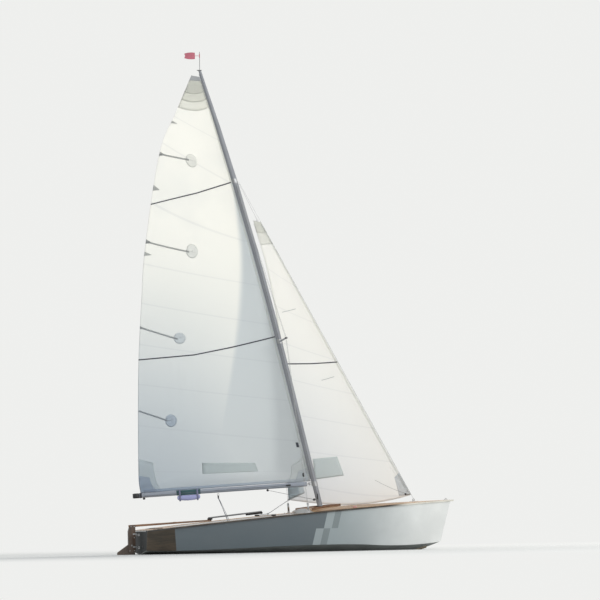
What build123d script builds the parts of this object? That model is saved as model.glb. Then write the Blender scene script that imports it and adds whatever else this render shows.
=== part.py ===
# Two-person sailing dinghy with a hard-chine plywood hull, raked mast, mainsail and jib.
# Millimetres. +X forward, +Y to port, +Z up. Origin on the centreline, at the waterline and mid-hull.
from math import cos, hypot, radians, sin, sqrt
import os

from build123d import *

# Hull lines
hull_length = 4540.0
bow_x = hull_length / 2
transom_x = -hull_length / 2
widest_x = transom_x + 1900.0
sheer_transom_z = 340.0
sheer_middle_x = bow_x - 2105.0
sheer_middle_z = 560.0
bow_z = 700.0
plan_transom_half = 506.0
plan_widest_half = 618.0
plan_stem_x = bow_x - 187.0
flare_slope = 0.277
keel_transom_z = -10.0
keel_middle_x = transom_x + 1670.0
keel_middle_z = -125.0
forefoot_x = bow_x - 1340.0
forefoot_z = -105.0
keel_rise_x = bow_x - 520.0
keel_rise_z = -10.0
keel_end_x = bow_x + 80.0
keel_end_z = 220.0
outer_y = 800.0
outer_transom_z = 85.0
outer_middle_z = 125.0
outer_forefoot_z = 260.0
outer_rise_z = 450.0
outer_end_z = 720.0
hull_low_z = -250.0
hull_high_z = 900.0

# Planking, frames and decks
side_ply = 7.0
bottom_ply = 8.0
deck_ply = 6.0
frame_ply = 9.0
transom_ply = 12.0
stem_x = bow_x - 270.0
strake_width = 22.0
strake_height = 22.0
keelson_width = 110.0
keelson_height = 20.0
scarf_gap = 0.6
keel_band_width = 64.0
keel_band_height = 12.0
keel_band_front_x = bow_x - 370.0
side_deck_width = 235.0
aft_bulkhead_x = transom_x + 450.0
mast_bulkhead_x = bow_x - 2170.0
foredeck_crown = 60.0
sole_z = 25.0
rail_front_x = mast_bulkhead_x + 560.0
rail_aft_x = mast_bulkhead_x + 30.0
rail_aft_y = 540.0
rail_width = 12.0
rail_height = 28.0
thwart_x = transom_x + 1340.0
thwart_width = 190.0
thwart_thickness = 18.0
thwart_z = 262.0

# Centreboard and its case
board_thickness = 22.0
board_clearance = 5.0
case_wall = 12.0
case_top_z = 215.0
case_front_x = mast_bulkhead_x - case_wall
board_pivot_x = case_front_x - 113.0
board_pivot_z = -45.0
board_pin_radius = 6.0
pin_clearance = 0.4
board_chord = 290.0
board_lead = 48.0
board_tip_chord = 190.0
board_length = 960.0
board_head = 48.0
board_tip_rake = 20.0
board_tip_rise = 30.0
foil_chamfer = 7.0
case_aft_x = board_pivot_x - board_length - 90.0

# Rudder and tiller
rudder_axis_gap = 42.0
pintle_radius = 5.0
strap_length = 54.0
gudgeon_heights = (90.0, 270.0)
gudgeon_depth = 16.0
gudgeon_arm = 14.0
gudgeon_radius = 11.0
gudgeon_plate_width = 110.0
gudgeon_plate_depth = 30.0
gudgeon_plate_thickness = 4.0
cheek_ply = 12.0
cheek_front = 16.0
cheek_aft = 118.0
cheek_low_z = 30.0
cheek_high_z = 420.0
blade_thickness = 22.0
blade_clearance = 5.0
blade_pivot_back = 72.0
blade_pivot_z = 130.0
blade_head = 48.0
blade_shoulder_z = -60.0
blade_back_z = 33.0
blade_low_z = -760.0
blade_chord = 255.0
blade_gate = 20.0
blade_tip_chord = 180.0
tiller_length = 1080.0
tiller_gap = 0.3
tiller_tip_height = 22.0
tiller_z = 388.0
tiller_rise = 3.0
extension_length = 900.0
extension_rise = 5.0
extension_turn = 135.0
swivel_radius = 5.0
extension_radius = 11.0

# Mast and rigging
mast_foot_z = -70.0
mast_bend_z = 2500.0
mast_reference_x = mast_bulkhead_x + 185.0
mast_reference_z = 960.0
mast_lower_slope = 0.232
mast_bend_rate = 0.000021
mast_top_z = 6850.0
mast_table = (
    # height, fore-and-aft size, breadth
    (mast_foot_z, 78.0, 62.0),
    (mast_bend_z, 78.0, 62.0),
    (3400.0, 78.0, 62.0),
    (4300.0, 78.0, 62.0),
    (5250.0, 77.0, 61.0),
    (6050.0, 63.0, 52.0),
    (mast_top_z, 40.0, 34.0),
)
step_height = 42.0
ring_wall = 3.0
ring_clearance = 0.3
hounds_z = 5250.0
hounds_height = 60.0
spreader_z = 2990.0
spreader_length = 430.0
spreader_rise = 40.0
spreader_radius = 9.0
spreader_ring_height = 60.0
shroud_radius = 2.0
shroud_bend_radius = 60.0
chainplate_x = mast_bulkhead_x - 55.0
chainplate_inset = 62.0
chainplate_height = 46.0
chainplate_foot_length = 64.0
chainplate_foot_width = 32.0
chainplate_root_width = 40.0
chainplate_top_width = 24.0
chainplate_seat = 2.5
chainplate_plate = 3.0
chainplate_hole = 4.0
chainplate_hole_drop = 12.0
tack_x = bow_x - 545.0
tack_height = 40.0
tack_foot_length = 120.0
tack_foot_width = 30.0
tack_root_width = 48.0
tack_root_drop = 2.0
tack_top_width = 28.0
tack_plate = 4.0
tack_hole = 5.0
fairlead_x = mast_bulkhead_x - 380.0
fairlead_inset = 40.0
fairlead_track = 240.0
fairlead_width = 20.0
fairlead_height = 8.0
fairlead_eye = 14.0
sheave_radius = 24.0
sheave_width = 18.0
block_foot = 5.0
block_post = 24.0
block_post_radius = 8.0
vane_rod_radius = 3.0
vane_rod_height = 260.0
vane_wall = 3.0
vane_tube = 60.0
vane_z = 7060.0
vane_arm = 66.0
vane_length = 155.0
vane_height = 90.0

# Boom
boom_pivot_back = 75.0
gooseneck_z = 960.0
gooseneck_pin_radius = 5.0
gooseneck_height = 68.0
gooseneck_wall = 4.0
lug_gap = 14.0
lug_thickness = 5.0
lug_half = 13.0
lug_seat = 6.5
plate_start = 1.9
plate_depth = 6.4
plate_width = 20.0
pin_stand = 4.0
boom_yaw = 10.0
boom_droop = 3.0
boom_length = 2500.0
boom_depth = 66.0
boom_width = 50.0
boom_start = 42.0
pouch_start = 1560.0
pouch_length = 330.0
pouch_depth = 74.0
pouch_width = 62.0
seat_gap = 0.3

# Sails
sail_cloth = 3.0
sail_steps = 8
main_luff_gap = 8.0
jib_luff_gap = 3.1
main_tack_z = 1000.0
main_head_z = 6760.0
clew_along = 2405.0


# Curves of the hull
def circleThrough(start, middle, end):
    """Centre and radius of the circle through three points given as pairs."""
    (ax, ay), (bx, by), (cx, cy) = start, middle, end
    d = 2 * (ax * (by - cy) + bx * (cy - ay) + cx * (ay - by))
    a2, b2, c2 = ax * ax + ay * ay, bx * bx + by * by, cx * cx + cy * cy
    ux = (a2 * (by - cy) + b2 * (cy - ay) + c2 * (ay - by)) / d
    uy = (a2 * (cx - bx) + b2 * (ax - cx) + c2 * (bx - ax)) / d
    return ux, uy, hypot(ax - ux, ay - uy)


def planCircle(z):
    """Circle of the planking's half-breadth at height z, flared out from the waterline plan."""
    stem = plan_stem_x + (bow_x - plan_stem_x) * z / bow_z
    return circleThrough(
        (transom_x, plan_transom_half + flare_slope * z),
        (widest_x, plan_widest_half + flare_slope * z),
        (stem, 0.0),
    )


def halfBreadth(x, z, inset=0.0):
    """Half-breadth of the hull at x and z, moved in by inset."""
    cx, cy, r = planCircle(z)
    return cy + sqrt((r - inset) ** 2 - (x - cx) ** 2)


def sheerZ(x):
    """Height of the sheer at x, on the circle through its three heights."""
    cx, cy, r = circleThrough(
        (transom_x, sheer_transom_z), (sheer_middle_x, sheer_middle_z), (bow_x, bow_z)
    )
    return cy + sqrt(r * r - (x - cx) ** 2)


def crownZ(x):
    """Rise of the foredeck's middle over the sheer, shrinking to nothing at the bow."""
    return foredeck_crown * (bow_x - x) / (bow_x - mast_bulkhead_x)


def bentMastX(z):
    """Middle of a smoothly bent mast at height z: straight and raked low down, bent gently aft above."""
    bend = max(z - mast_bend_z, 0.0)
    return mast_reference_x - mast_lower_slope * (z - mast_reference_z) - mast_bend_rate / 2 * bend**2


def mastX(z):
    """Middle of the mast at height z, on straight runs between the heights of its table."""
    for (z0, *_), (z1, *_) in zip(mast_table, mast_table[1:]):
        if z <= z1 or z1 == mast_top_z:
            low_x, high_x = bentMastX(z0), bentMastX(z1)
            return low_x + (high_x - low_x) * (z - z0) / (z1 - z0)


def mastSize(z):
    """Fore-and-aft size and breadth of the mast at height z, between the rows of its table."""
    for (z0, a0, b0), (z1, a1, b1) in zip(mast_table, mast_table[1:]):
        if z <= z1:
            share = (z - z0) / (z1 - z0)
            return a0 + (a1 - a0) * share, b0 + (b1 - b0) * share
    return mast_table[-1][1:]


def mainLuffX(z):
    """Luff of the mainsail at height z, close behind the mast."""
    return mastX(z) - mastSize(z)[0] / 2 - main_luff_gap


# Bodies that bound the planking; each piece of the hull is cut from them
def topsideBody(inset):
    """Flared body inside the topsides, port half, moved in by inset."""
    with BuildPart() as body:
        for z in (hull_low_z, hull_high_z):
            cx, cy, r = planCircle(z)
            tip = cx + sqrt((r - inset) ** 2 - cy**2)
            middle = (transom_x + tip) / 2
            with BuildSketch(Plane.XY.offset(z)):
                with BuildLine():
                    start = (transom_x, halfBreadth(transom_x, z, inset))
                    ThreePointArc(start, (middle, halfBreadth(middle, z, inset)), (tip, 0))
                    Polyline((tip, 0), (transom_x, 0), start)
                make_face()
        loft(ruled=True)
    return body.part


def bottomBody(raise_z):
    """Body above the bottom panels, port half, raised by raise_z."""
    rows = (
        # y of the profile, then its heights at transom, middle, forefoot, rise and end
        (0.0, keel_transom_z, keel_middle_z, forefoot_z, keel_rise_z, keel_end_z),
        (outer_y, outer_transom_z, outer_middle_z, outer_forefoot_z, outer_rise_z, outer_end_z),
    )
    with BuildPart() as body:
        for y, transom, middle, forefoot, rise, end in rows:
            with BuildSketch(Plane.XZ.offset(-y)):
                with BuildLine():
                    corner = (forefoot_x, forefoot + raise_z)
                    ThreePointArc((transom_x, transom + raise_z), (keel_middle_x, middle + raise_z), corner)
                    ThreePointArc(corner, (keel_rise_x, rise + raise_z), (keel_end_x, end + raise_z))
                    Polyline(
                        (keel_end_x, end + raise_z),
                        (keel_end_x, hull_high_z),
                        (transom_x, hull_high_z),
                        (transom_x, transom + raise_z),
                    )
                make_face()
        loft(ruled=True)
    return body.part


def sheerBody(lower):
    """Body below the sheer, both sides, lowered by lower."""
    with BuildPart() as body:
        with BuildSketch(Plane.XZ):
            with BuildLine():
                ThreePointArc(
                    (transom_x, sheer_transom_z - lower),
                    (sheer_middle_x, sheer_middle_z - lower),
                    (bow_x, bow_z - lower),
                )
                Line((bow_x, bow_z - lower), (bow_x + strake_width * 3, bow_z - lower))
                Polyline(
                    (bow_x + strake_width * 3, bow_z - lower),
                    (bow_x + strake_width * 3, hull_low_z),
                    (transom_x, hull_low_z),
                    (transom_x, sheer_transom_z - lower),
                )
            make_face()
        extrude(amount=outer_y, both=True)
    return body.part


def crownBody(lower):
    """Body below the crowned foredeck, both sides, lowered by lower."""
    with BuildPart() as body:
        for share in (0.0, 0.2, 0.4, 0.6, 0.8, 1.0):
            x = mast_bulkhead_x + (bow_x - mast_bulkhead_x) * share
            half = halfBreadth(x, bow_z) + strake_width
            with BuildSketch(Plane.YZ.offset(x)):
                with BuildLine():
                    top = sheerZ(x) - lower
                    ThreePointArc((half, top), (0, top + crownZ(x) + 1), (-half, top))
                    Polyline((-half, top), (-half, hull_low_z), (half, hull_low_z), (half, top))
                make_face()
        loft(ruled=True)
    return body.part


def block(x0, x1, y0, y1, z0, z1):
    """Plain block between two corners."""
    with BuildPart() as body:
        with BuildSketch(Plane.XY.offset(z0)):
            with Locations(((x0 + x1) / 2, (y0 + y1) / 2)):
                Rectangle(x1 - x0, y1 - y0)
        extrude(amount=z1 - z0)
    return body.part


def mirrored(piece):
    """The same piece on the starboard side."""
    with BuildPart() as other:
        mirror(piece.part, about=Plane.XZ)
    return other


topside_out = topsideBody(0.0)
topside_in = topsideBody(side_ply)
bottom_out = bottomBody(0.0)
bottom_in = bottomBody(bottom_ply)
below_sheer = sheerBody(0.0)
below_deck = sheerBody(deck_ply)
below_crown = crownBody(0.0)
below_foredeck = crownBody(deck_ply)
slot_half = board_thickness / 2 + board_clearance
case_slot = block(case_aft_x, case_front_x, -slot_half, slot_half, hull_low_z, case_top_z)

# Planking
with BuildPart() as topside_port:
    add(topside_out)
    add(topside_in, mode=Mode.SUBTRACT)
    add(bottom_out, mode=Mode.INTERSECT)
    add(below_sheer, mode=Mode.INTERSECT)
topside_starboard = mirrored(topside_port)

with BuildPart() as bottom_port:
    add(bottom_out)
    add(bottom_in, mode=Mode.SUBTRACT)
    add(topside_in, mode=Mode.INTERSECT)
    add(case_slot, mode=Mode.SUBTRACT)
bottom_starboard = mirrored(bottom_port)


def insideHull(piece_body, top):
    """The given port-side body cut to the inside of the planking and below top, with its mirror image."""
    with BuildPart() as body:
        add(piece_body)
        add(topside_in, mode=Mode.INTERSECT)
        add(bottom_in, mode=Mode.INTERSECT)
        add(top, mode=Mode.INTERSECT)
        mirror(about=Plane.XZ)
    return body


transom = insideHull(block(transom_x, transom_x + transom_ply, 0, outer_y, hull_low_z, bow_z), below_sheer)
stem = insideHull(block(stem_x, bow_x, 0, outer_y, hull_low_z, hull_high_z), below_foredeck)
aft_bulkhead = insideHull(
    block(aft_bulkhead_x - frame_ply, aft_bulkhead_x, 0, outer_y, hull_low_z, bow_z), below_deck
)
mast_bulkhead = insideHull(
    block(mast_bulkhead_x, mast_bulkhead_x + frame_ply, 0, outer_y, hull_low_z, hull_high_z), below_foredeck
)

# Rubbing strakes along the sheer
with BuildPart() as strake_port:
    add(topsideBody(-strake_width))
    add(topside_out, mode=Mode.SUBTRACT)
    add(below_sheer, mode=Mode.INTERSECT)
    add(sheerBody(strake_height), mode=Mode.SUBTRACT)
strake_starboard = mirrored(strake_port)

# Keelson inside and keel band outside, both slotted for the centreboard
with BuildPart() as keelson:
    add(block(transom_x + transom_ply, stem_x, 0, keelson_width / 2, hull_low_z, bow_z))
    add(bottom_in, mode=Mode.INTERSECT)
    add(topside_in, mode=Mode.INTERSECT)
    add(bottomBody(bottom_ply + keelson_height), mode=Mode.SUBTRACT)
    mirror(about=Plane.XZ)
    add(case_slot, mode=Mode.SUBTRACT)

with BuildPart() as keel_band:
    add(block(transom_x, keel_band_front_x, 0, keel_band_width / 2, hull_low_z, bow_z))
    add(bottomBody(-keel_band_height), mode=Mode.INTERSECT)
    add(bottom_out, mode=Mode.SUBTRACT)
    mirror(about=Plane.XZ)
    add(case_slot, mode=Mode.SUBTRACT)

# Bulkheads stand over the keelson
for frame in (aft_bulkhead, mast_bulkhead, stem):
    frame.part = frame.part - keelson.part


def scarfed(piece, aft, front):
    """The piece cut at the two ends of the centreboard's slot, so that single timbers run beside it."""
    for end in (aft - scarf_gap, front):
        piece.part = piece.part - block(end, end + scarf_gap, -outer_y, outer_y, hull_low_z, bow_z)


scarfed(keel_band, case_aft_x, case_front_x)

# Decks
tank_in = topsideBody(side_deck_width)
with BuildPart() as side_deck_port:
    add(block(aft_bulkhead_x, mast_bulkhead_x, 0, outer_y, 0, bow_z))
    add(topside_in, mode=Mode.INTERSECT)
    add(tank_in, mode=Mode.SUBTRACT)
    add(below_sheer, mode=Mode.INTERSECT)
    add(below_deck, mode=Mode.SUBTRACT)
side_deck_starboard = mirrored(side_deck_port)

with BuildPart() as aft_deck:
    add(block(transom_x + transom_ply, aft_bulkhead_x, 0, outer_y, 0, bow_z))
    add(topside_in, mode=Mode.INTERSECT)
    add(below_sheer, mode=Mode.INTERSECT)
    add(below_deck, mode=Mode.SUBTRACT)
    mirror(about=Plane.XZ)

mast_hole_x = mastX(sheer_middle_z + foredeck_crown)
with BuildPart() as foredeck:
    add(block(mast_bulkhead_x, bow_x, 0, outer_y, 0, hull_high_z))
    add(below_crown, mode=Mode.INTERSECT)
    add(below_foredeck, mode=Mode.SUBTRACT)
    add(topside_in, mode=Mode.INTERSECT)
    mirror(about=Plane.XZ)
    with BuildSketch(Plane.XY) as mast_gate:
        with Locations((mast_hole_x, 0)):
            SlotOverall(mast_table[0][1] + 22, mast_table[0][2] + 12)
    extrude(amount=hull_high_z, mode=Mode.SUBTRACT)

# Splash rail: a low wall on the foredeck, in a V from ahead of the mast out to the cockpit's corners
with BuildPart() as splash_rail:
    with BuildSketch(Plane.XY):
        with BuildLine():
            Polyline(
                (rail_front_x, 0),
                (rail_aft_x, rail_aft_y),
                (rail_aft_x - rail_width, rail_aft_y),
                (rail_front_x - 2 * rail_width, 0),
                close=True,
            )
        make_face()
    extrude(amount=hull_high_z)
    add(crownBody(-rail_height), mode=Mode.INTERSECT)
    add(below_crown, mode=Mode.SUBTRACT)
    mirror(about=Plane.XZ)

with BuildPart() as side_tank_port:
    add(block(aft_bulkhead_x, mast_bulkhead_x, 0, outer_y, hull_low_z, bow_z))
    add(tank_in, mode=Mode.INTERSECT)
    add(topsideBody(side_deck_width + frame_ply), mode=Mode.SUBTRACT)
    add(bottom_in, mode=Mode.INTERSECT)
    add(below_deck, mode=Mode.INTERSECT)
side_tank_starboard = mirrored(side_tank_port)

# Centreboard case: two walls and two posts round the slot, standing on the bottom, with the pivot bolt
case_half = slot_half + case_wall
with BuildPart() as centreboard_case:
    add(block(case_aft_x - case_wall, case_front_x + case_wall, 0, case_half, hull_low_z, case_top_z))
    add(bottom_in, mode=Mode.INTERSECT)
    mirror(about=Plane.XZ)
    add(case_slot, mode=Mode.SUBTRACT)
    with BuildSketch(Plane.XZ):
        with Locations((board_pivot_x, board_pivot_z)):
            Circle(board_pin_radius)
    extrude(amount=case_half, both=True)
keelson.part = keelson.part - centreboard_case.part
scarfed(keelson, case_aft_x - case_wall, case_front_x + case_wall)
mast_bulkhead.part = mast_bulkhead.part - centreboard_case.part

inner_body = topsideBody(side_deck_width + frame_ply)
with BuildPart() as cockpit_sole:
    add(block(aft_bulkhead_x, mast_bulkhead_x, 0, outer_y, sole_z - frame_ply, sole_z))
    add(inner_body, mode=Mode.INTERSECT)
    add(bottom_in, mode=Mode.INTERSECT)
    mirror(about=Plane.XZ)
    add(
        block(case_aft_x - case_wall, mast_bulkhead_x, -case_half, case_half, hull_low_z, bow_z),
        mode=Mode.SUBTRACT,
    )
scarfed(cockpit_sole, case_aft_x - case_wall, mast_bulkhead_x)

with BuildPart() as thwart:
    half = thwart_width / 2
    add(block(thwart_x - half, thwart_x + half, 0, outer_y, thwart_z, thwart_z + thwart_thickness))
    add(inner_body, mode=Mode.INTERSECT)
    mirror(about=Plane.XZ)

# Posts carry the thwart on the sole beside the case
with BuildPart() as thwart_post:
    for side in (-1, 1):
        with BuildSketch(Plane.XY.offset(sole_z)):
            with Locations((thwart_x, side * (case_half + case_wall / 2))):
                Rectangle(thwart_width * 0.6, case_wall)
        extrude(amount=thwart_z - sole_z)


def foilEdges(foil, least):
    """The long straight edges of a flat foil's two faces, its leading and trailing edges."""
    return [edge for edge in foil.edges().filter_by(GeomType.LINE) if edge.length > least]


# Centreboard, lowered
with BuildPart() as centreboard:
    with BuildSketch(Plane.XZ):
        with BuildLine():
            aft = board_pivot_x + board_lead - board_chord
            front = board_pivot_x + board_lead
            low = board_pivot_z - board_length
            Polyline(
                (aft, board_pivot_z + board_head),
                (board_pivot_x, board_pivot_z + board_head),
            )
            ThreePointArc(
                (board_pivot_x, board_pivot_z + board_head),
                (
                    board_pivot_x + board_head * cos(radians(45)),
                    board_pivot_z + board_head * sin(radians(45)),
                ),
                (front, board_pivot_z),
            )
            Polyline(
                (front, board_pivot_z),
                (front - board_tip_rake, low),
                (front - board_tip_rake - board_tip_chord, low + board_tip_rise),
                (aft, board_pivot_z + board_head),
            )
        make_face()
    extrude(amount=board_thickness / 2, both=True)
    chamfer(foilEdges(centreboard, board_length / 2), length=foil_chamfer)
    with BuildSketch(Plane.XZ):
        with Locations((board_pivot_x, board_pivot_z)):
            Circle(board_pin_radius + pin_clearance)
    extrude(amount=board_thickness, both=True, mode=Mode.SUBTRACT)

# Rudder hangings on the transom: two gudgeons, each with an eye round its pintle
axis_x = transom_x - rudder_axis_gap
with BuildPart() as gudgeons:
    for z in gudgeon_heights:
        with BuildSketch(Plane.XY.offset(z)):
            with Locations(((transom_x + axis_x) / 2, 0)):
                Rectangle(rudder_axis_gap, gudgeon_arm)
            with Locations((axis_x, 0)):
                Circle(gudgeon_radius)
                Circle(pintle_radius + pin_clearance, mode=Mode.SUBTRACT)
        extrude(amount=gudgeon_depth)
        with BuildSketch(Plane.YZ.offset(transom_x)):
            with Locations((0, z + gudgeon_depth / 2)):
                Rectangle(gudgeon_plate_width, gudgeon_plate_depth)
        extrude(amount=-gudgeon_plate_thickness)

# Rudder stock: two cheeks joined by a block at the front and one at the top
stock_half = blade_thickness / 2 + blade_clearance
blade_pivot_x = axis_x - blade_pivot_back
with BuildPart() as rudder_stock:
    for side in (-1, 1):
        with BuildSketch(Plane.XZ.offset(-side * (stock_half + cheek_ply / 2))):
            with BuildLine():
                Polyline(
                    (axis_x - cheek_front, cheek_low_z),
                    (axis_x - cheek_front, cheek_high_z),
                    (axis_x - cheek_aft + 25, cheek_high_z),
                    (axis_x - cheek_aft, cheek_high_z - 90),
                    (axis_x - cheek_aft, cheek_low_z + 20),
                    (axis_x - cheek_aft + 20, cheek_low_z),
                    close=True,
                )
            make_face()
        extrude(amount=cheek_ply / 2, both=True)
    front = axis_x - cheek_front
    add(block(blade_pivot_x + blade_gate, front, -stock_half, stock_half, cheek_high_z - 190, tiller_z + 2))

with BuildPart() as pintles:
    for z in gudgeon_heights:
        top = z + gudgeon_depth + 1
        with BuildSketch(Plane.XY.offset(top)):
            with Locations((axis_x - (cheek_front - 9) / 2, 0)):
                Rectangle(cheek_front + 9, 18)
        extrude(amount=6)
        with BuildSketch(Plane.XY.offset(z - 8)):
            with Locations((axis_x, 0)):
                Circle(pintle_radius)
        extrude(amount=top - z + 8)
    for side in (-1, 1):
        for z in gudgeon_heights:
            with BuildSketch(Plane.XZ.offset(-side * (stock_half + cheek_ply + 1.5))):
                with Locations((axis_x - strap_length / 2, z + gudgeon_depth + 4)):
                    Rectangle(strap_length, 20)
            extrude(amount=1.5, both=True)
            add(
                block(
                    axis_x - cheek_front, axis_x + 9, side * 9 if side > 0 else -stock_half - cheek_ply - 3,
                    stock_half + cheek_ply + 3 if side > 0 else side * 9,
                    z + gudgeon_depth + 1, z + gudgeon_depth + 7,
                )
            )
pintles.part = pintles.part - rudder_stock.part

with BuildPart() as rudder_blade:
    with BuildSketch(Plane.XZ):
        with BuildLine():
            front = blade_pivot_x + blade_head
            Polyline(
                (front, blade_pivot_z),
                (front + 6, blade_shoulder_z),
                (front - 30, blade_low_z),
                (front - 30 - blade_tip_chord, blade_low_z + 40),
                (front - blade_chord, -60),
                (front - blade_chord, blade_back_z),
                (blade_pivot_x, blade_pivot_z + blade_head),
            )
            ThreePointArc(
                (blade_pivot_x, blade_pivot_z + blade_head),
                (
                    blade_pivot_x + blade_head * cos(radians(45)),
                    blade_pivot_z + blade_head * sin(radians(45)),
                ),
                (front, blade_pivot_z),
            )
        make_face()
    extrude(amount=blade_thickness / 2, both=True)
    chamfer(foilEdges(rudder_blade, -blade_low_z / 2), length=foil_chamfer)
    with BuildSketch(Plane.XZ):
        with Locations((blade_pivot_x, blade_pivot_z)):
            Circle(board_pin_radius + pin_clearance)
    extrude(amount=blade_thickness, both=True, mode=Mode.SUBTRACT)

with BuildPart() as blade_pin:
    with BuildSketch(Plane.XZ):
        with Locations((blade_pivot_x, blade_pivot_z)):
            Circle(board_pin_radius)
    extrude(amount=stock_half + cheek_ply + 3, both=True)
    for side in (-1, 1):
        with BuildSketch(Plane.XZ.offset(-side * (stock_half + cheek_ply + 2))):
            with Locations((blade_pivot_x, blade_pivot_z)):
                Circle(board_pin_radius * 2)
        extrude(amount=2, both=True)
rudder_stock.part = rudder_stock.part - blade_pin.part

# Tiller through the head of the stock, tapering forward, and its extension laid back along it
tiller_height = 2 * (stock_half - tiller_gap)
tiller_back = axis_x - cheek_aft + 10
tiller_plane = Plane(
    origin=(tiller_back, 0, tiller_z + tiller_height / 2),
    x_dir=(0, 1, 0),
    z_dir=(cos(radians(tiller_rise)), 0, sin(radians(tiller_rise))),
)
with BuildPart() as tiller:
    for distance, size in ((0.0, tiller_height), (tiller_length + cheek_aft, tiller_tip_height)):
        with BuildSketch(tiller_plane.offset(distance)):
            RectangleRounded(size, size, size / 4)
    loft(ruled=True)
rudder_stock.part = rudder_stock.part - tiller.part

swivel = tiller_plane.offset(tiller_length + cheek_aft - 25).origin
extension_z = swivel.Z + tiller_tip_height / 2 + 26
with BuildPart() as extension_swivel:
    with BuildSketch(Plane.XY.offset(swivel.Z)):
        with Locations((swivel.X, 0)):
            Circle(swivel_radius)
    tilt = radians(extension_rise)
    swivel_top = extension_z - extension_radius / cos(tilt) - swivel_radius * sin(tilt) - 2 * seat_gap
    extrude(amount=swivel_top - swivel.Z)
extension_swivel.part = extension_swivel.part - tiller.part

with BuildPart() as tiller_extension:
    turn = radians(extension_turn)
    way = Vector(-cos(turn) * cos(tilt), -sin(turn) * cos(tilt), sin(tilt))
    with BuildSketch(Plane(origin=Vector(swivel.X, 0, extension_z) - way * 20, z_dir=way)):
        Circle(extension_radius)
    extrude(amount=extension_length)

# Mast: oval sections, straight up to the bend and leaning further aft at each one above it
with BuildPart() as mast:
    for z, size, breadth in mast_table:
        with BuildSketch(Plane.XY.offset(z)):
            with Locations((mastX(z), 0)):
                SlotOverall(size, breadth)
    loft(ruled=True)


def mastRing(z, height, wall=ring_wall, clearance=ring_clearance):
    """Ring round the mast from z up by height, sheared with the mast's rake."""
    with BuildPart() as ring:
        for mode, extra in ((Mode.ADD, clearance + wall), (Mode.SUBTRACT, clearance)):
            with BuildPart(mode=Mode.PRIVATE) as body:
                for level in (z, z + height):
                    size, breadth = mastSize(level)
                    with BuildSketch(Plane.XY.offset(level)):
                        with Locations((mastX(level), 0)):
                            SlotOverall(size + 2 * extra, breadth + 2 * extra)
                loft(ruled=True)
            add(body.part, mode=mode)
    return ring.part


step_x = mastX(mast_foot_z)
with BuildPart() as mast_step:
    add(block(step_x - 90, step_x + 90, 0, 50, hull_low_z, mast_foot_z + step_height))
    add(bottomBody(bottom_ply + keelson_height), mode=Mode.INTERSECT)
    mirror(about=Plane.XZ)
    with BuildSketch(Plane.XY.offset(mast_foot_z)):
        with Locations((mastX(mast_foot_z + step_height / 2), 0)):
            SlotOverall(mast_table[0][1] + 14, mast_table[0][2] + 4)
    extrude(amount=step_height * 2, mode=Mode.SUBTRACT)

with BuildPart() as hounds_ring:
    add(mastRing(hounds_z, hounds_height))
    add(mast.part, mode=Mode.SUBTRACT)


# Chainplates on the side decks
def chainplate(side):
    """Plate on one side deck with its upright and hole, and the point above it where the shroud starts."""
    x = chainplate_x
    y = side * (halfBreadth(x, sheerZ(x)) - chainplate_inset)
    with BuildPart() as plate:
        add(
            block(
                x - chainplate_foot_length / 2,
                x + chainplate_foot_length / 2,
                y - chainplate_foot_width / 2,
                y + chainplate_foot_width / 2,
                0,
                bow_z,
            )
        )
        add(sheerBody(-4.0), mode=Mode.INTERSECT)
        add(below_sheer, mode=Mode.SUBTRACT)
        with BuildSketch(Plane.XZ.offset(-y)):
            with BuildLine():
                top = sheerZ(x) + chainplate_height
                root = sheerZ(x) + chainplate_seat
                Polyline(
                    (x - chainplate_root_width / 2, root),
                    (x - chainplate_top_width / 2, top),
                    (x + chainplate_top_width / 2, top),
                    (x + chainplate_root_width / 2, root),
                    close=True,
                )
            make_face()
            with Locations((x, top - chainplate_hole_drop)):
                Circle(chainplate_hole, mode=Mode.SUBTRACT)
        extrude(amount=chainplate_plate / 2, both=True)
        add(below_sheer, mode=Mode.SUBTRACT)
    return plate, (x, y, sheerZ(x) + chainplate_height + 2)


chainplate_port, base_port = chainplate(1)
chainplate_starboard, base_starboard = chainplate(-1)


# Spreaders and shrouds
def spreader(side):
    """Tube from the ring on the mast out to one side, and its outer end."""
    size, breadth = mastSize(spreader_z)
    start = Vector(mastX(spreader_z), side * (breadth / 2 + ring_wall + 2 * ring_clearance), spreader_z)
    end = Vector(mastX(spreader_z), side * (breadth / 2 + spreader_length), spreader_z + spreader_rise)
    plane = Plane(origin=start, x_dir=(1, 0, 0), z_dir=end - start)
    with BuildPart() as tube:
        with BuildSketch(plane):
            SlotOverall(spreader_radius * 3, spreader_radius * 2)
        extrude(amount=(end - start).length)
    return tube, end


with BuildPart() as spreader_ring:
    add(mastRing(spreader_z - spreader_ring_height / 2, spreader_ring_height))
    add(mast.part, mode=Mode.SUBTRACT)
spreader_port, tip_port = spreader(1)
spreader_starboard, tip_starboard = spreader(-1)
for tube in (spreader_port, spreader_starboard):
    tube.part = tube.part - spreader_ring.part


def shroud(side, base, tip):
    """Wire from a chainplate over the end of a spreader to the hounds."""
    breadth = mastSize(hounds_z)[1]
    outside = tip + Vector(0, side * (shroud_radius + 3 * seat_gap), 0)
    top_y = side * (breadth / 2 + ring_wall + 2 * ring_clearance + shroud_radius)
    top = (mastX(hounds_z), top_y, hounds_z + 10)
    with BuildPart() as wire:
        with BuildLine() as route:
            FilletPolyline(base, outside, top, radius=shroud_bend_radius)
        with BuildSketch(Plane(origin=route.line @ 0, z_dir=route.line % 0)):
            Circle(shroud_radius)
        sweep()
    return wire


shroud_port = shroud(1, base_port, tip_port)
shroud_starboard = shroud(-1, base_starboard, tip_starboard)


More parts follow.
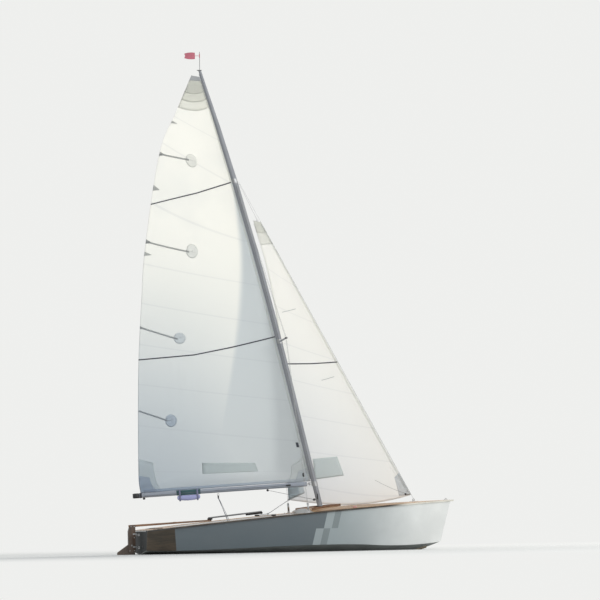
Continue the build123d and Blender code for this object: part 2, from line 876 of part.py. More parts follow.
# Jib fairleads: a track on each side deck with an eye standing on it
def fairlead(side):
    """Track and eye on one side deck."""
    y = side * (halfBreadth(fairlead_x, sheerZ(fairlead_x)) - side_deck_width + fairlead_inset)
    track_half = fairlead_track / 2
    width_half = fairlead_width / 2
    with BuildPart() as lead:
        add(block(fairlead_x - track_half, fairlead_x + track_half, y - width_half, y + width_half, 0, bow_z))
        add(sheerBody(-fairlead_height), mode=Mode.INTERSECT)
        add(below_sheer, mode=Mode.SUBTRACT)
        with BuildSketch(Plane.XZ.offset(-y)):
            with Locations((fairlead_x, sheerZ(fairlead_x) + fairlead_height + fairlead_eye - 3)):
                Circle(fairlead_eye)
                Circle(fairlead_eye / 2, mode=Mode.SUBTRACT)
        extrude(amount=fairlead_width / 4, both=True)
    return lead


fairlead_port = fairlead(1)
fairlead_starboard = fairlead(-1)

# Mainsheet block on the middle of the thwart: a foot, a post and a sheave between two cheeks
block_z = thwart_z + thwart_thickness
with BuildPart() as mainsheet_block:
    with BuildSketch(Plane.XY.offset(block_z)):
        with Locations((thwart_x, 0)):
            Circle(sheave_radius)
    extrude(amount=block_foot)
    with BuildSketch(Plane.XY.offset(block_z + block_foot)):
        with Locations((thwart_x, 0)):
            Circle(block_post_radius)
    extrude(amount=block_post)
    with BuildSketch(Plane.XZ):
        with Locations((thwart_x, block_z + block_post + sheave_radius)):
            SlotOverall(sheave_radius * 2.5, sheave_radius * 2, rotation=90)
    extrude(amount=sheave_width / 2, both=True)

# Tack fitting on the foredeck, and the forestay up to the hounds
with BuildPart() as tack_fitting:
    foot_half = tack_foot_length / 2
    add(block(tack_x - foot_half, tack_x + foot_half, 0, tack_foot_width / 2, 0, hull_high_z))
    add(crownBody(-4.0), mode=Mode.INTERSECT)
    add(below_crown, mode=Mode.SUBTRACT)
    mirror(about=Plane.XZ)
    tack_z = sheerZ(tack_x) + crownZ(tack_x)
    with BuildSketch(Plane.XZ):
        with BuildLine():
            Polyline(
                (tack_x - tack_root_width / 2, tack_z - tack_root_drop),
                (tack_x - tack_top_width / 2, tack_z + tack_height),
                (tack_x + tack_top_width / 2, tack_z + tack_height),
                (tack_x + tack_root_width / 2, tack_z - tack_root_drop),
                close=True,
            )
        make_face()
        with Locations((tack_x, tack_z + tack_height - tack_top_width / 2)):
            Circle(tack_hole, mode=Mode.SUBTRACT)
    extrude(amount=tack_plate / 2, both=True)
    add(below_crown, mode=Mode.SUBTRACT)

with BuildPart() as forestay:
    size, breadth = mastSize(hounds_z)
    stay_low = Vector(tack_x, 0, tack_z + tack_height + 1 + seat_gap)
    stay_high = Vector(mastX(hounds_z + 30) + size / 2 + ring_wall + 6, 0, hounds_z + 30)
    with BuildSketch(Plane(origin=stay_low, z_dir=stay_high - stay_low)):
        Circle(shroud_radius)
    extrude(amount=(stay_high - stay_low).length)

# Masthead cap with the rod of the wind vane
cap_x = mastX(mast_top_z)
with BuildPart() as masthead_cap:
    with BuildSketch(Plane.XY.offset(mast_top_z)):
        with Locations((cap_x - 6, 0)):
            SlotOverall(70, 40)
    extrude(amount=8)
    with BuildSketch(Plane.XY.offset(mast_top_z + 8)):
        with Locations((cap_x, 0)):
            Circle(vane_rod_radius)
    extrude(amount=vane_rod_height)

with BuildPart() as wind_vane:
    with BuildSketch(Plane.XY.offset(vane_z - vane_tube / 2)):
        with Locations((cap_x, 0)):
            Circle(vane_rod_radius + vane_wall)
            Circle(vane_rod_radius + pin_clearance, mode=Mode.SUBTRACT)
    extrude(amount=vane_tube)
    with BuildSketch(Plane.XZ):
        with BuildLine():
            start = cap_x - vane_rod_radius - vane_wall / 2
            root = cap_x - vane_arm
            tip = root - vane_length
            low = vane_z - vane_height / 2
            high = vane_z + vane_height / 2
            arm_low = vane_z - vane_wall
            arm_high = vane_z + vane_wall
            tip_low = (tip, low + vane_wall * 4)
            tip_high = (tip, high - vane_wall * 4)
            Polyline((start, arm_low), (root, arm_low), (root, low))
            ThreePointArc((root, low), (root - vane_length / 2, low - vane_wall), tip_low)
            Polyline(tip_low, (tip + vane_wall * 4, vane_z), tip_high)
            ThreePointArc(tip_high, (root - vane_length / 2, high + vane_wall), (root, high))
            Polyline((root, high), (root, arm_high), (start, arm_high), (start, arm_low))
        make_face()
    extrude(amount=vane_wall / 4, both=True)

# Gooseneck: a ring on the mast with two lugs and a pin along the luff
pivot = Vector(mastX(gooseneck_z) - boom_pivot_back, 0, gooseneck_z)
head = Vector(mainLuffX(main_head_z), 0, main_head_z)
luff_axis = (head - pivot).normalized()
pin_plane = Plane(origin=pivot, x_dir=Vector(0, 1, 0).cross(luff_axis), z_dir=luff_axis)
with BuildPart() as gooseneck:
    add(mastRing(gooseneck_z - gooseneck_height / 2, gooseneck_height, wall=gooseneck_wall))
    for level in (gooseneck_z - gooseneck_height / 2, gooseneck_z + gooseneck_height / 2):
        with BuildSketch(Plane.XY.offset(level)):
            with Locations((mastX(level) - mast_table[0][1] / 2 - plate_start - plate_depth / 2, 0)):
                Rectangle(plate_depth, plate_width)
    loft(ruled=True)
    lug_reach = boom_pivot_back - mast_table[0][1] / 2 - lug_seat
    for low_end in (-lug_gap - lug_thickness, lug_gap):
        with BuildSketch(pin_plane.offset(low_end)):
            with Locations((lug_reach / 2, 0)):
                Rectangle(lug_reach, 2 * lug_half)
            Circle(lug_half)
        extrude(amount=lug_thickness)
    with BuildSketch(pin_plane.offset(-lug_gap - lug_thickness - pin_stand)):
        Circle(gooseneck_pin_radius)
    extrude(amount=2 * (lug_gap + lug_thickness + pin_stand))

# Boom, drooping aft and eased to port, with a fitting that holds the pin
boom_way = Vector(
    -cos(radians(boom_droop)) * cos(radians(boom_yaw)),
    cos(radians(boom_droop)) * sin(radians(boom_yaw)),
    -sin(radians(boom_droop)),
)
boom_side = boom_way.cross(Vector(0, 0, 1)).normalized()
boom_plane = Plane(origin=pivot, x_dir=boom_side, z_dir=boom_way)
with BuildPart() as boom:
    with BuildSketch(boom_plane.offset(boom_start)):
        RectangleRounded(boom_width, boom_depth, 20)
    extrude(amount=boom_length - boom_start)

with BuildPart() as boom_fitting:
    with BuildSketch(pin_plane.offset(-lug_gap + 1)):
        Circle(12)
    extrude(amount=2 * (lug_gap - 1))
    with BuildSketch(boom_plane):
        Rectangle(16, 2 * (lug_gap - 6))
    extrude(amount=boom_start)
    with BuildSketch(boom_plane.offset(boom_start - 6)):
        RectangleRounded(boom_width - 2, boom_depth - 2, 18)
    extrude(amount=6)
    with BuildSketch(pin_plane.offset(-lug_gap)):
        Circle(gooseneck_pin_radius + pin_clearance)
    extrude(amount=2 * lug_gap, mode=Mode.SUBTRACT)

with BuildPart() as boom_cap:
    with BuildSketch(boom_plane.offset(boom_length)):
        RectangleRounded(boom_width, boom_depth, 20)
    extrude(amount=18)

# Pouch slung under the boom
with BuildPart() as boom_pouch:
    with BuildSketch(boom_plane.offset(pouch_start)):
        with Locations((0, boom_depth / 2 + seat_gap + pouch_depth / 2)):
            RectangleRounded(pouch_width, pouch_depth, 18)
    extrude(amount=pouch_length)

# Sails: thin bodies lofted through a few cambered sections of short runs
clew = pivot + boom_way * clew_along + boom_plane.y_dir * -(boom_depth / 2 + 2 * seat_gap)
mainsail_table = (
    # luff z, leech x from the mast's foot line, leech y, leech z, depth of the camber as a share of the chord
    (main_tack_z, clew.X - mast_reference_x, clew.Y, clew.Z, 0.015),
    (1250.0, -2465.0, 425.0, 1120.0, 0.075),
    (2740.0, -2423.0, 495.0, 2760.0, 0.09),
    (4300.0, -2300.0, 490.0, 4380.0, 0.085),
    (5410.0, -2091.0, 400.0, 5690.0, 0.075),
    (6150.0, -1875.0, 260.0, 6260.0, 0.06),
    (main_head_z, -1680.0, 40.0, 6785.0, 0.03),
)
jib_table = (
    # luff z, leech x from the mast's foot line, leech y, leech z, depth of the camber as a share of the chord
    (780.0, -285.0, 450.0, 735.0, 0.07),
    (2050.0, -335.0, 400.0, 2060.0, 0.11),
    (3400.0, -465.0, 240.0, 3415.0, 0.1),
    (4690.0, -820.0, 30.0, 4715.0, 0.05),
)


def sailBody(table, luffX):
    """Thin body of one sail in flat facets between its table's sections, each cambered as a parabola."""
    rows = []
    for luff_z, leech_x, leech_y, leech_z, camber in table:
        luff = Vector(luffX(luff_z), 0, luff_z)
        chord = Vector(mast_reference_x + leech_x, leech_y, leech_z) - luff
        side = (Vector(0, 1, 0) - chord * (chord.Y / chord.length**2)).normalized()
        inner = []
        for step in range(sail_steps + 1):
            share = step / sail_steps
            depth = 4 * camber * chord.length * share * (1 - share)
            inner.append(luff + chord * share + side * depth)
        outer = [point + side * sail_cloth for point in reversed(inner)]
        rows.append(inner + outer)
    outlines = [rows[0], rows[-1]]
    for low_row, high_row in zip(rows, rows[1:]):
        for k in range(len(low_row)):
            n = (k + 1) % len(low_row)
            # Both faces of the cloth are split along the same diagonal
            if k <= sail_steps:
                outlines += [(low_row[k], low_row[n], high_row[n]), (low_row[k], high_row[n], high_row[k])]
            else:
                outlines += [(low_row[k], low_row[n], high_row[k]), (low_row[n], high_row[n], high_row[k])]
    with BuildPart() as sail:
        add(Solid(Shell([Face(Wire.make_polygon(outline)) for outline in outlines])))
    return sail


def jibLuffX(z):
    """Luff of the jib at height z, close behind the forestay."""
    share = (z - stay_low.Z) / (stay_high.Z - stay_low.Z)
    return stay_low.X + (stay_high.X - stay_low.X) * share - jib_luff_gap


mainsail = sailBody(mainsail_table, mainLuffX)
jib = sailBody(jib_table, jibLuffX)

pieces = {
    "topside_port": topside_port,
    "topside_starboard": topside_starboard,
    "bottom_port": bottom_port,
    "bottom_starboard": bottom_starboard,
    "transom": transom,
    "stem": stem,
    "strake_port": strake_port,
    "strake_starboard": strake_starboard,
    "keelson": keelson,
    "keel_band": keel_band,
    "aft_bulkhead": aft_bulkhead,
    "mast_bulkhead": mast_bulkhead,
    "foredeck": foredeck,
    "side_deck_port": side_deck_port,
    "side_deck_starboard": side_deck_starboard,
    "aft_deck": aft_deck,
    "splash_rail": splash_rail,
    "side_tank_port": side_tank_port,
    "side_tank_starboard": side_tank_starboard,
    "cockpit_sole": cockpit_sole,
    "centreboard_case": centreboard_case,
    "thwart": thwart,
    "thwart_post": thwart_post,
    "centreboard": centreboard,
    "gudgeons": gudgeons,
    "rudder_stock": rudder_stock,
    "pintles": pintles,
    "rudder_blade": rudder_blade,
    "blade_pin": blade_pin,
    "tiller": tiller,
    "extension_swivel": extension_swivel,
    "tiller_extension": tiller_extension,
    "mast": mast,
    "mast_step": mast_step,
    "hounds_ring": hounds_ring,
    "chainplate_port": chainplate_port,
    "chainplate_starboard": chainplate_starboard,
    "spreader_port": spreader_port,
    "spreader_starboard": spreader_starboard,
    "spreader_ring": spreader_ring,
    "shroud_port": shroud_port,
    "shroud_starboard": shroud_starboard,
    "fairlead_port": fairlead_port,
    "fairlead_starboard": fairlead_starboard,
    "mainsheet_block": mainsheet_block,
    "tack_fitting": tack_fitting,
    "forestay": forestay,
    "masthead_cap": masthead_cap,
    "wind_vane": wind_vane,
    "gooseneck": gooseneck,
    "boom": boom,
    "boom_fitting": boom_fitting,
    "boom_cap": boom_cap,
    "boom_pouch": boom_pouch,
    "mainsail": mainsail,
    "jib": jib,
}
os.makedirs("parts", exist_ok=True)
for name, piece in pieces.items():
    piece.part.label = name
    export_step(piece.part, f"parts/{name}.step")
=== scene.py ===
import bpy
import numpy as np
from math import cos, radians, sin, pi
from mathutils import Matrix, Vector


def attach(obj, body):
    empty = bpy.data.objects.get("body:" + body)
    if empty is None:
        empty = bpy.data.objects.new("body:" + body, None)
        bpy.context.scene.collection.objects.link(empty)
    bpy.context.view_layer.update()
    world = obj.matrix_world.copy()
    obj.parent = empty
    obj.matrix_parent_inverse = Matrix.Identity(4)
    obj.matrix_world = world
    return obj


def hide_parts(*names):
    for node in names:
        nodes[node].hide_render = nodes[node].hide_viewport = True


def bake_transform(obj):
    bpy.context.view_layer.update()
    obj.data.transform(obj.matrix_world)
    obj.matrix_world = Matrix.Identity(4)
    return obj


# Sailing dinghy: hull, spars, sails and gear. Metres, bow +X, port +Y, up +Z, the waterline at z = 0.
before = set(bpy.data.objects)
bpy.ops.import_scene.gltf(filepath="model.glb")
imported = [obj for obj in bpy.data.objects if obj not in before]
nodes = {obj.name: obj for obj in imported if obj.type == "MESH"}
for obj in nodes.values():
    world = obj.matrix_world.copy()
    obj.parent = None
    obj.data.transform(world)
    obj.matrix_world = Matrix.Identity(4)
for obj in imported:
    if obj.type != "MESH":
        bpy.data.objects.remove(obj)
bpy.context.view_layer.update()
print("frame loaded:", len(nodes), "nodes")


# Camera: a long lens from starboard and a little aft, low down, with the bow rolled up a degree
cameraView = {
    "azimuth": radians(12.4), "rise": radians(1.5), "roll": radians(1.0),
    "target": Vector((0.1193, 0.0, 3.576)), "distance": 110.0, "lens": 464.0, "sensor": 36.0, "far": 500.0,
}


def makeCamera(view):
    # Axes of a view turned from dead abeam by the azimuth, lifted by the rise and then rolled
    a, b, r = view["azimuth"], view["rise"], view["roll"]
    right = Vector((cos(a), -sin(a), 0.0))
    up = Vector((-sin(b) * sin(a), -sin(b) * cos(a), cos(b)))
    ahead = Vector((sin(a) * cos(b), cos(a) * cos(b), sin(b)))
    data = bpy.data.cameras.new("camera")
    data.lens, data.sensor_width, data.clip_end = view["lens"], view["sensor"], view["far"]
    camera = bpy.data.objects.new("camera", data)
    bpy.context.scene.collection.objects.link(camera)
    across, upward = right * cos(r) - up * sin(r), right * sin(r) + up * cos(r)
    place = view["target"] - ahead * view["distance"]
    camera.matrix_world = Matrix((
        (across.x, upward.x, -ahead.x, place.x),
        (across.y, upward.y, -ahead.y, place.y),
        (across.z, upward.z, -ahead.z, place.z),
        (0.0, 0.0, 0.0, 1.0),
    ))
    bpy.context.scene.camera = camera


makeCamera(cameraView)
bpy.context.scene.view_settings.view_transform = "Standard"


# Node trees: small helpers that add a node, wire it and return its output
def addNode(tree, kind, inputs=None, **settings):
    node = tree.nodes.new(kind)
    for name, value in settings.items():
        setattr(node, name, value)
    for socket, value in (inputs or {}).items():
        target = node.inputs[socket]
        if isinstance(value, bpy.types.NodeSocket):
            tree.links.new(value, target)
        else:
            target.default_value = value
    return node


def rgb(r, g, b):
    return (r, g, b, 1.0)


def shaded(tone, share):
    return rgb(*[min(1.0, v * share) for v in tone])


def mathNode(tree, operation, a, b=0.0, c=0.0):
    return addNode(tree, "ShaderNodeMath", {0: a, 1: b, 2: c}, operation=operation).outputs[0]


def times(tree, a, b):
    return mathNode(tree, "MULTIPLY", a, b)


def ramp(tree, value, low, high):
    # 0 below low, 1 above high, smooth between
    given = {"Value": value, "From Min": low, "From Max": high}
    return addNode(tree, "ShaderNodeMapRange", given, interpolation_type="SMOOTHSTEP").outputs["Result"]


def mixColour(tree, share, a, b):
    # Sockets 0, 6 and 7 of a colour mix are its share and its two colours; 2 is the colour it puts out
    return addNode(tree, "ShaderNodeMix", {0: share, 6: a, 7: b}, data_type="RGBA").outputs[2]


def noise(tree, point, scale, detail, distortion=0.0):
    given = {"Vector": point, "Scale": scale, "Detail": detail, "Distortion": distortion}
    return addNode(tree, "ShaderNodeTexNoise", given).outputs[0]


def split(tree, vector):
    return addNode(tree, "ShaderNodeSeparateXYZ", {0: vector}).outputs


def newGroup(name, inputs, outputs):
    group = bpy.data.node_groups.new(name, "ShaderNodeTree")
    for label, kind, value in inputs:
        socket = group.interface.new_socket(label, in_out="INPUT", socket_type="NodeSocket" + kind)
        if value is not None:
            socket.default_value = value
    for label, kind in outputs:
        group.interface.new_socket(label, in_out="OUTPUT", socket_type="NodeSocket" + kind)
    return group, group.nodes.new("NodeGroupInput").outputs, group.nodes.new("NodeGroupOutput").inputs


def useGroup(tree, group, **inputs):
    return addNode(tree, "ShaderNodeGroup", inputs, node_tree=group).outputs


# Grain: long streaks along the boards, with finer fibres, for wood under varnish
def buildGrain():
    inputs = (("Vector", "Vector", None), ("Dark", "Color", rgb(0.05, 0.02, 0.01)),
              ("Light", "Color", rgb(0.2, 0.09, 0.04)), ("Length", "Float", 1.0))
    group, given, result = newGroup("grain", inputs, (("Color", "Color"), ("Height", "Float")))
    x, y, z = split(group, given["Vector"])
    place = {0: times(group, x, given["Length"]), 1: y, 2: z}
    stretched = addNode(group, "ShaderNodeCombineXYZ", place).outputs[0]
    broad = noise(group, stretched, 9.0, 4.0, 0.6)
    fine = noise(group, stretched, 60.0, 6.0)
    streak = mathNode(group, "ADD", times(group, broad, 0.65), times(group, fine, 0.35))
    colour = mixColour(group, ramp(group, streak, 0.32, 0.68), given["Dark"], given["Light"])
    group.links.new(colour, result["Color"])
    group.links.new(streak, result["Height"])
    return group


# Weave: two crossing sets of threads, from a vector whose first two parts run along them
def buildWeave():
    inputs = (("Vector", "Vector", None), ("Threads", "Float", 1000.0))
    group, given, result = newGroup("weave", inputs, (("Height", "Float"),))
    across = split(group, given["Vector"])
    threads = [mathNode(group, "SINE", times(group, across[i], given["Threads"])) for i in (0, 1)]
    crossed = times(group, threads[0], threads[1])
    group.links.new(mathNode(group, "MULTIPLY_ADD", crossed, 0.5, 0.5), result["Height"])
    return group


# Wear: slow cloudy tone with specks of salt, 0 clean to 1 marked
def buildWear():
    inputs = (("Vector", "Vector", None), ("Cloud", "Float", 3.0), ("Specks", "Float", 90.0))
    group, given, result = newGroup("wear", inputs, (("Cloud", "Float"), ("Speck", "Float")))
    cloud = noise(group, given["Vector"], given["Cloud"], 5.0)
    speck = noise(group, given["Vector"], given["Specks"], 2.0)
    group.links.new(ramp(group, cloud, 0.35, 0.7), result["Cloud"])
    group.links.new(ramp(group, speck, 0.62, 0.74), result["Speck"])
    return group


grainGroup, weaveGroup, wearGroup = buildGrain(), buildWeave(), buildWear()


def newMaterial(name, **constants):
    material = bpy.data.materials.new(name)
    material.use_nodes = True
    shader = material.node_tree.nodes["Principled BSDF"]
    for socket, value in constants.items():
        shader.inputs[socket.replace("_", " ")].default_value = value
    return material, material.node_tree, shader


def objectPoint(tree):
    return addNode(tree, "ShaderNodeTexCoord").outputs["Object"]


def colourBy(tree, shader, colour):
    tree.links.new(colour, shader.inputs["Base Color"])


def roughBy(tree, shader, mask, share, rough):
    # Roughness rises from rough by a share of the mask
    tree.links.new(mathNode(tree, "MULTIPLY_ADD", mask, share, rough), shader.inputs["Roughness"])


def bumpBy(tree, shader, height, strength, distance):
    node = addNode(tree, "ShaderNodeBump", {"Strength": strength, "Distance": distance, "Height": height})
    tree.links.new(node.outputs[0], shader.inputs["Normal"])


def surfaceBy(tree, share, first, second):
    # The finished surface is a mix of two shaders
    mixed = addNode(tree, "ShaderNodeMixShader", {0: share, 1: first.outputs[0], 2: second.outputs[0]})
    tree.links.new(mixed.outputs[0], tree.nodes["Material Output"].inputs["Surface"])


# Varnished wood: dark and light tones of the grain, and how glossy it is
woodTones = {
    "sideWood": {"dark": (0.030, 0.023, 0.014), "light": (0.078, 0.056, 0.034)},
    "deckWood": {"dark": (0.26, 0.14, 0.06), "light": (0.46, 0.28, 0.14), "coat": 0.2, "rough": 0.5},
    "foilWood": {"dark": (0.045, 0.027, 0.016), "light": (0.11, 0.066, 0.04), "coat": 0.5, "rough": 0.32},
    "trimWood": {"dark": (0.10, 0.045, 0.02), "light": (0.26, 0.13, 0.06), "coat": 0.2, "rough": 0.45},
    "sternWood": {"dark": (0.012, 0.015, 0.016), "light": (0.026, 0.031, 0.032), "coat": 0.0, "rough": 0.75},
}


def grainOf(tree, point, tone, length):
    dark, light = rgb(*tone["dark"]), rgb(*tone["light"])
    return useGroup(tree, grainGroup, Vector=point, Dark=dark, Light=light, Length=length)


def woodMaterial(name, tone, length=0.08, turn=(0.0, 0.0, 0.0)):
    material, tree, shader = newMaterial(
        name, Roughness=tone["rough"], Coat_Weight=tone["coat"], Coat_Roughness=0.08)
    place = addNode(tree, "ShaderNodeMapping", {"Vector": objectPoint(tree), "Rotation": turn}).outputs[0]
    grain = grainOf(tree, place, tone, length)
    wear = useGroup(tree, wearGroup, Vector=place, Cloud=2.2)
    worn = times(tree, wear["Cloud"], 0.3)
    colourBy(tree, shader, mixColour(tree, worn, grain["Color"], shaded(tone["dark"], 0.6)))
    bumpBy(tree, shader, grain["Height"], strength=0.15, distance=0.0006)
    return material


def paintMaterial(name, base, low, rough=0.3, coat=0.3):
    # Gloss paint: base tone, greyer in clouds, with a faint orange-peel bump
    material, tree, shader = newMaterial(name, Coat_Weight=coat, Coat_Roughness=0.1)
    point = objectPoint(tree)
    wear = useGroup(tree, wearGroup, Vector=point)
    colourBy(tree, shader, mixColour(tree, wear["Cloud"], rgb(*base), rgb(*low)))
    roughBy(tree, shader, wear["Speck"], 0.2, rough)
    bumpBy(tree, shader, noise(tree, point, 220.0, 2.0), strength=0.08, distance=0.0004)
    return material


def metalMaterial(name, tone, rough, stretch=(40.0, 40.0, 1.2), metallic=0.9):
    # Drawn metal: fine lines along the length in the roughness and bump
    material, tree, shader = newMaterial(name, Metallic=metallic)
    place = addNode(tree, "ShaderNodeMapping", {"Vector": objectPoint(tree), "Scale": stretch}).outputs[0]
    lines = noise(tree, place, 22.0, 4.0)
    wear = useGroup(tree, wearGroup, Vector=objectPoint(tree), Cloud=5.0)
    dulled = times(tree, wear["Cloud"], 0.35)
    colourBy(tree, shader, mixColour(tree, dulled, rgb(*tone), shaded(tone, 0.78)))
    roughBy(tree, shader, lines, 0.18, rough)
    bumpBy(tree, shader, lines, strength=0.1, distance=0.0003)
    return material


def plasticMaterial(name, tone, rough=0.5):
    # Moulded plastic: its tone shifts a little in clouds, with a fine grained bump
    material, tree, shader = newMaterial(name)
    point = objectPoint(tree)
    wear = useGroup(tree, wearGroup, Vector=point, Cloud=12.0, Specks=400.0)
    faded = rgb(*[v * 0.8 + 0.01 for v in tone])
    colourBy(tree, shader, mixColour(tree, wear["Cloud"], rgb(*tone), faded))
    roughBy(tree, shader, wear["Speck"], 0.15, rough)
    bumpBy(tree, shader, noise(tree, point, 900.0, 2.0), strength=0.12, distance=0.0003)
    return material


# Topsides: varnish aft, blue-grey amidships, two rows of slanted blocks, then light grey that turns white
sideBands = {
    "slant": 0.2, "level": 0.326, "woodEnd": -1.885, "woodSlant": -0.112, "seam": 0.0025,
    "blueGrey": (0.115, 0.142, 0.156), "block": (0.225, 0.265, 0.27), "pale": (0.345, 0.395, 0.405),
    "white": (0.84, 0.85, 0.82), "whiteFrom": 0.35, "whiteTo": 2.15, "worn": (0.16, 0.17, 0.17),
    "lower": (0.155, 0.269, 0.368), "upper": (0.27, 0.388, 0.483),
}


def sideMaterial(bands):
    material, tree, shader = newMaterial("sidePaint", Coat_Weight=0.35, Coat_Roughness=0.12)
    point = objectPoint(tree)
    parts = split(tree, point)
    x, z = parts[0], parts[2]
    height = mathNode(tree, "SUBTRACT", z, bands["level"])
    slanted = mathNode(tree, "SUBTRACT", x, times(tree, height, bands["slant"]))
    aftEdge = mathNode(tree, "SUBTRACT", x, times(tree, height, bands["woodSlant"]))

    def past(value, edge):
        return ramp(tree, value, edge - bands["seam"], edge + bands["seam"])

    whitening = ramp(tree, x, bands["whiteFrom"], bands["whiteTo"])
    bow = mixColour(tree, whitening, rgb(*bands["pale"]), rgb(*bands["white"]))

    def row(edges):
        first, second, third = edges
        colour = mixColour(tree, past(slanted, first), rgb(*bands["blueGrey"]), rgb(*bands["pale"]))
        colour = mixColour(tree, past(slanted, second), colour, rgb(*bands["block"]))
        return mixColour(tree, past(slanted, third), colour, bow)

    paint = mixColour(tree, past(z, bands["level"]), row(bands["lower"]), row(bands["upper"]))
    wear = useGroup(tree, wearGroup, Vector=point, Cloud=1.6)
    paint = mixColour(tree, times(tree, wear["Cloud"], 0.18), paint, rgb(*bands["worn"]))
    grain = grainOf(tree, point, woodTones["sideWood"], 0.1)
    colourBy(tree, shader, mixColour(tree, past(aftEdge, bands["woodEnd"]), grain["Color"], paint))
    roughBy(tree, shader, wear["Speck"], 0.15, 0.3)
    bumpBy(tree, shader, noise(tree, point, 160.0, 2.0), strength=0.08, distance=0.0004)
    return material


# Rubbing strake: dark varnish aft, its last stretch before the bow painted cream
strakeTones = {"aft": (0.045, 0.038, 0.032), "bow": (0.74, 0.71, 0.62), "worn": (0.2, 0.19, 0.17),
               "from": 1.25, "to": 1.62}


def strakeMaterial(tones):
    material, tree, shader = newMaterial("strakePaint", Roughness=0.5)
    point = objectPoint(tree)
    along = split(tree, point)[0]
    wear = useGroup(tree, wearGroup, Vector=point, Cloud=6.0)
    bow = ramp(tree, along, tones["from"], tones["to"])
    colour = mixColour(tree, bow, rgb(*tones["aft"]), rgb(*tones["bow"]))
    colourBy(tree, shader, mixColour(tree, times(tree, wear["Cloud"], 0.25), colour, rgb(*tones["worn"])))
    return material


# Sailcloth: its tone, the tone of the painted shade low down and by the leech (and of its faint clouds),
# how much light it lets through, how many seams cross it and how dark the painted shade behind the mast is
clothTones = {
    "mainCloth": {"tone": (0.965, 0.96, 0.925), "shadeAndCloud": (0.60, 0.65, 0.685), "through": 0.55, "seams": 11.0,
                  "shade": 0.62},
    "jibCloth": {"tone": (0.93, 0.925, 0.90), "shadeAndCloud": (0.84, 0.85, 0.86), "through": 0.6, "seams": 8.0},
    "layerCloth": {"tone": (0.95, 0.95, 0.93), "shadeAndCloud": (0.80, 0.84, 0.86), "through": 0.8},
    "patchCloth": {"tone": (0.92, 0.925, 0.92), "shadeAndCloud": (0.66, 0.72, 0.80), "through": 0.8},
    "battenCloth": {"tone": (0.64, 0.65, 0.645), "shadeAndCloud": (0.50, 0.54, 0.58), "through": 0.72},
    "filmCloth": {"tone": (0.86, 0.89, 0.885), "shadeAndCloud": (0.80, 0.84, 0.84), "through": 0.8},
}
seamTone = (0.5, 0.52, 0.56)


def clothMaterial(name, tone):
    material, tree, shader = newMaterial(name, Roughness=0.42, Sheen_Weight=0.05)
    u, v = split(tree, addNode(tree, "ShaderNodeUVMap").outputs[0])[:2]
    point = objectPoint(tree)
    wear = useGroup(tree, wearGroup, Vector=point, Cloud=1.3)
    # Painted shade: the low cloth turns greyer and bluer, most by the leech, and so does a strip behind the
    # mast
    low = mathNode(tree, "SUBTRACT", 1.0, ramp(tree, v, 0.0, 0.75))
    lowLeechShade = times(tree, ramp(tree, u, -0.6, 1.0), low)
    # Painted shade on a strip behind the lower mast, its slanted edge letting the strip widen lower down
    edge = mathNode(tree, "MULTIPLY_ADD", v, -0.97, 0.723)
    mastStripShade = ramp(tree, mathNode(tree, "SUBTRACT", edge, u), -0.03, 0.05)
    # Painted shade, with a faint share of the cloth's real cloudy tone
    shadeAndCloud = mathNode(tree, "MAXIMUM", lowLeechShade, times(tree, wear["Cloud"], 0.1))
    shadeAndCloud = mathNode(tree, "MAXIMUM", shadeAndCloud, times(tree, mastStripShade, tone.get("shade", 0.0)))
    colour = mixColour(tree, shadeAndCloud, rgb(*tone["tone"]), rgb(*tone["shadeAndCloud"]))
    # Seams: a narrow band where the scaled height wraps, tilted a little across the sail
    seams = tone.get("seams", 0.0)
    climb = mathNode(tree, "FRACT", mathNode(tree, "MULTIPLY_ADD", v, seams, times(tree, u, -0.5)))
    seam = times(tree, mathNode(tree, "LESS_THAN", climb, 0.035), 1.0 if seams else 0.0)
    colour = mixColour(tree, times(tree, seam, 0.12), colour, rgb(*seamTone))
    colourBy(tree, shader, colour)
    weave = useGroup(tree, weaveGroup, Vector=point, Threads=2600.0)
    crease = noise(tree, point, 7.0, 4.0, 1.0)
    height = mathNode(tree, "MULTIPLY_ADD", weave["Height"], 0.05, crease)
    bumpBy(tree, shader, height, strength=0.12, distance=0.006)
    surfaceBy(tree, tone["through"], shader, addNode(tree, "ShaderNodeBsdfTranslucent", {"Color": colour}))
    return material


def fabricMaterial(name, tone, threads=1400.0):
    # Woven webbing or canvas on Object coordinates, with the threads in the bump, and their crowns painted
    # lighter
    material, tree, shader = newMaterial(name, Roughness=0.8, Sheen_Weight=0.2)
    point = objectPoint(tree)
    weave = useGroup(tree, weaveGroup, Vector=point, Threads=threads)
    wear = useGroup(tree, wearGroup, Vector=point, Cloud=9.0)
    worn = mixColour(tree, times(tree, wear["Cloud"], 0.4), rgb(*tone), shaded(tone, 0.7))
    # Painted highlight: the weave's raised threads are mixed towards a lighter copy of the tone
    colourBy(tree, shader, mixColour(tree, times(tree, weave["Height"], 0.25), worn, shaded(tone, 1.3)))
    bumpBy(tree, shader, weave["Height"], strength=0.3, distance=0.0005)
    return material


def ropeMaterial(name, tone, fleck):
    # Braided rope: crossing helices from the tube's own map, with flecks in the sheath
    material, tree, shader = newMaterial(name, Roughness=0.75)
    around, along = split(tree, addNode(tree, "ShaderNodeUVMap").outputs[0])[:2]
    pitch, strands = 900.0, 3
    helices = []
    for side in (1, -1):
        turned = times(tree, around, side * 2 * pi * strands)
        helices.append(mathNode(tree, "SINE", mathNode(tree, "ADD", times(tree, along, pitch), turned)))
    braid = mathNode(tree, "MULTIPLY_ADD", times(tree, *helices), 0.5, 0.5)
    colourBy(tree, shader, mixColour(tree, ramp(tree, braid, 0.55, 0.95), rgb(*tone), rgb(*fleck)))
    bumpBy(tree, shader, braid, strength=0.5, distance=0.0008)
    return material


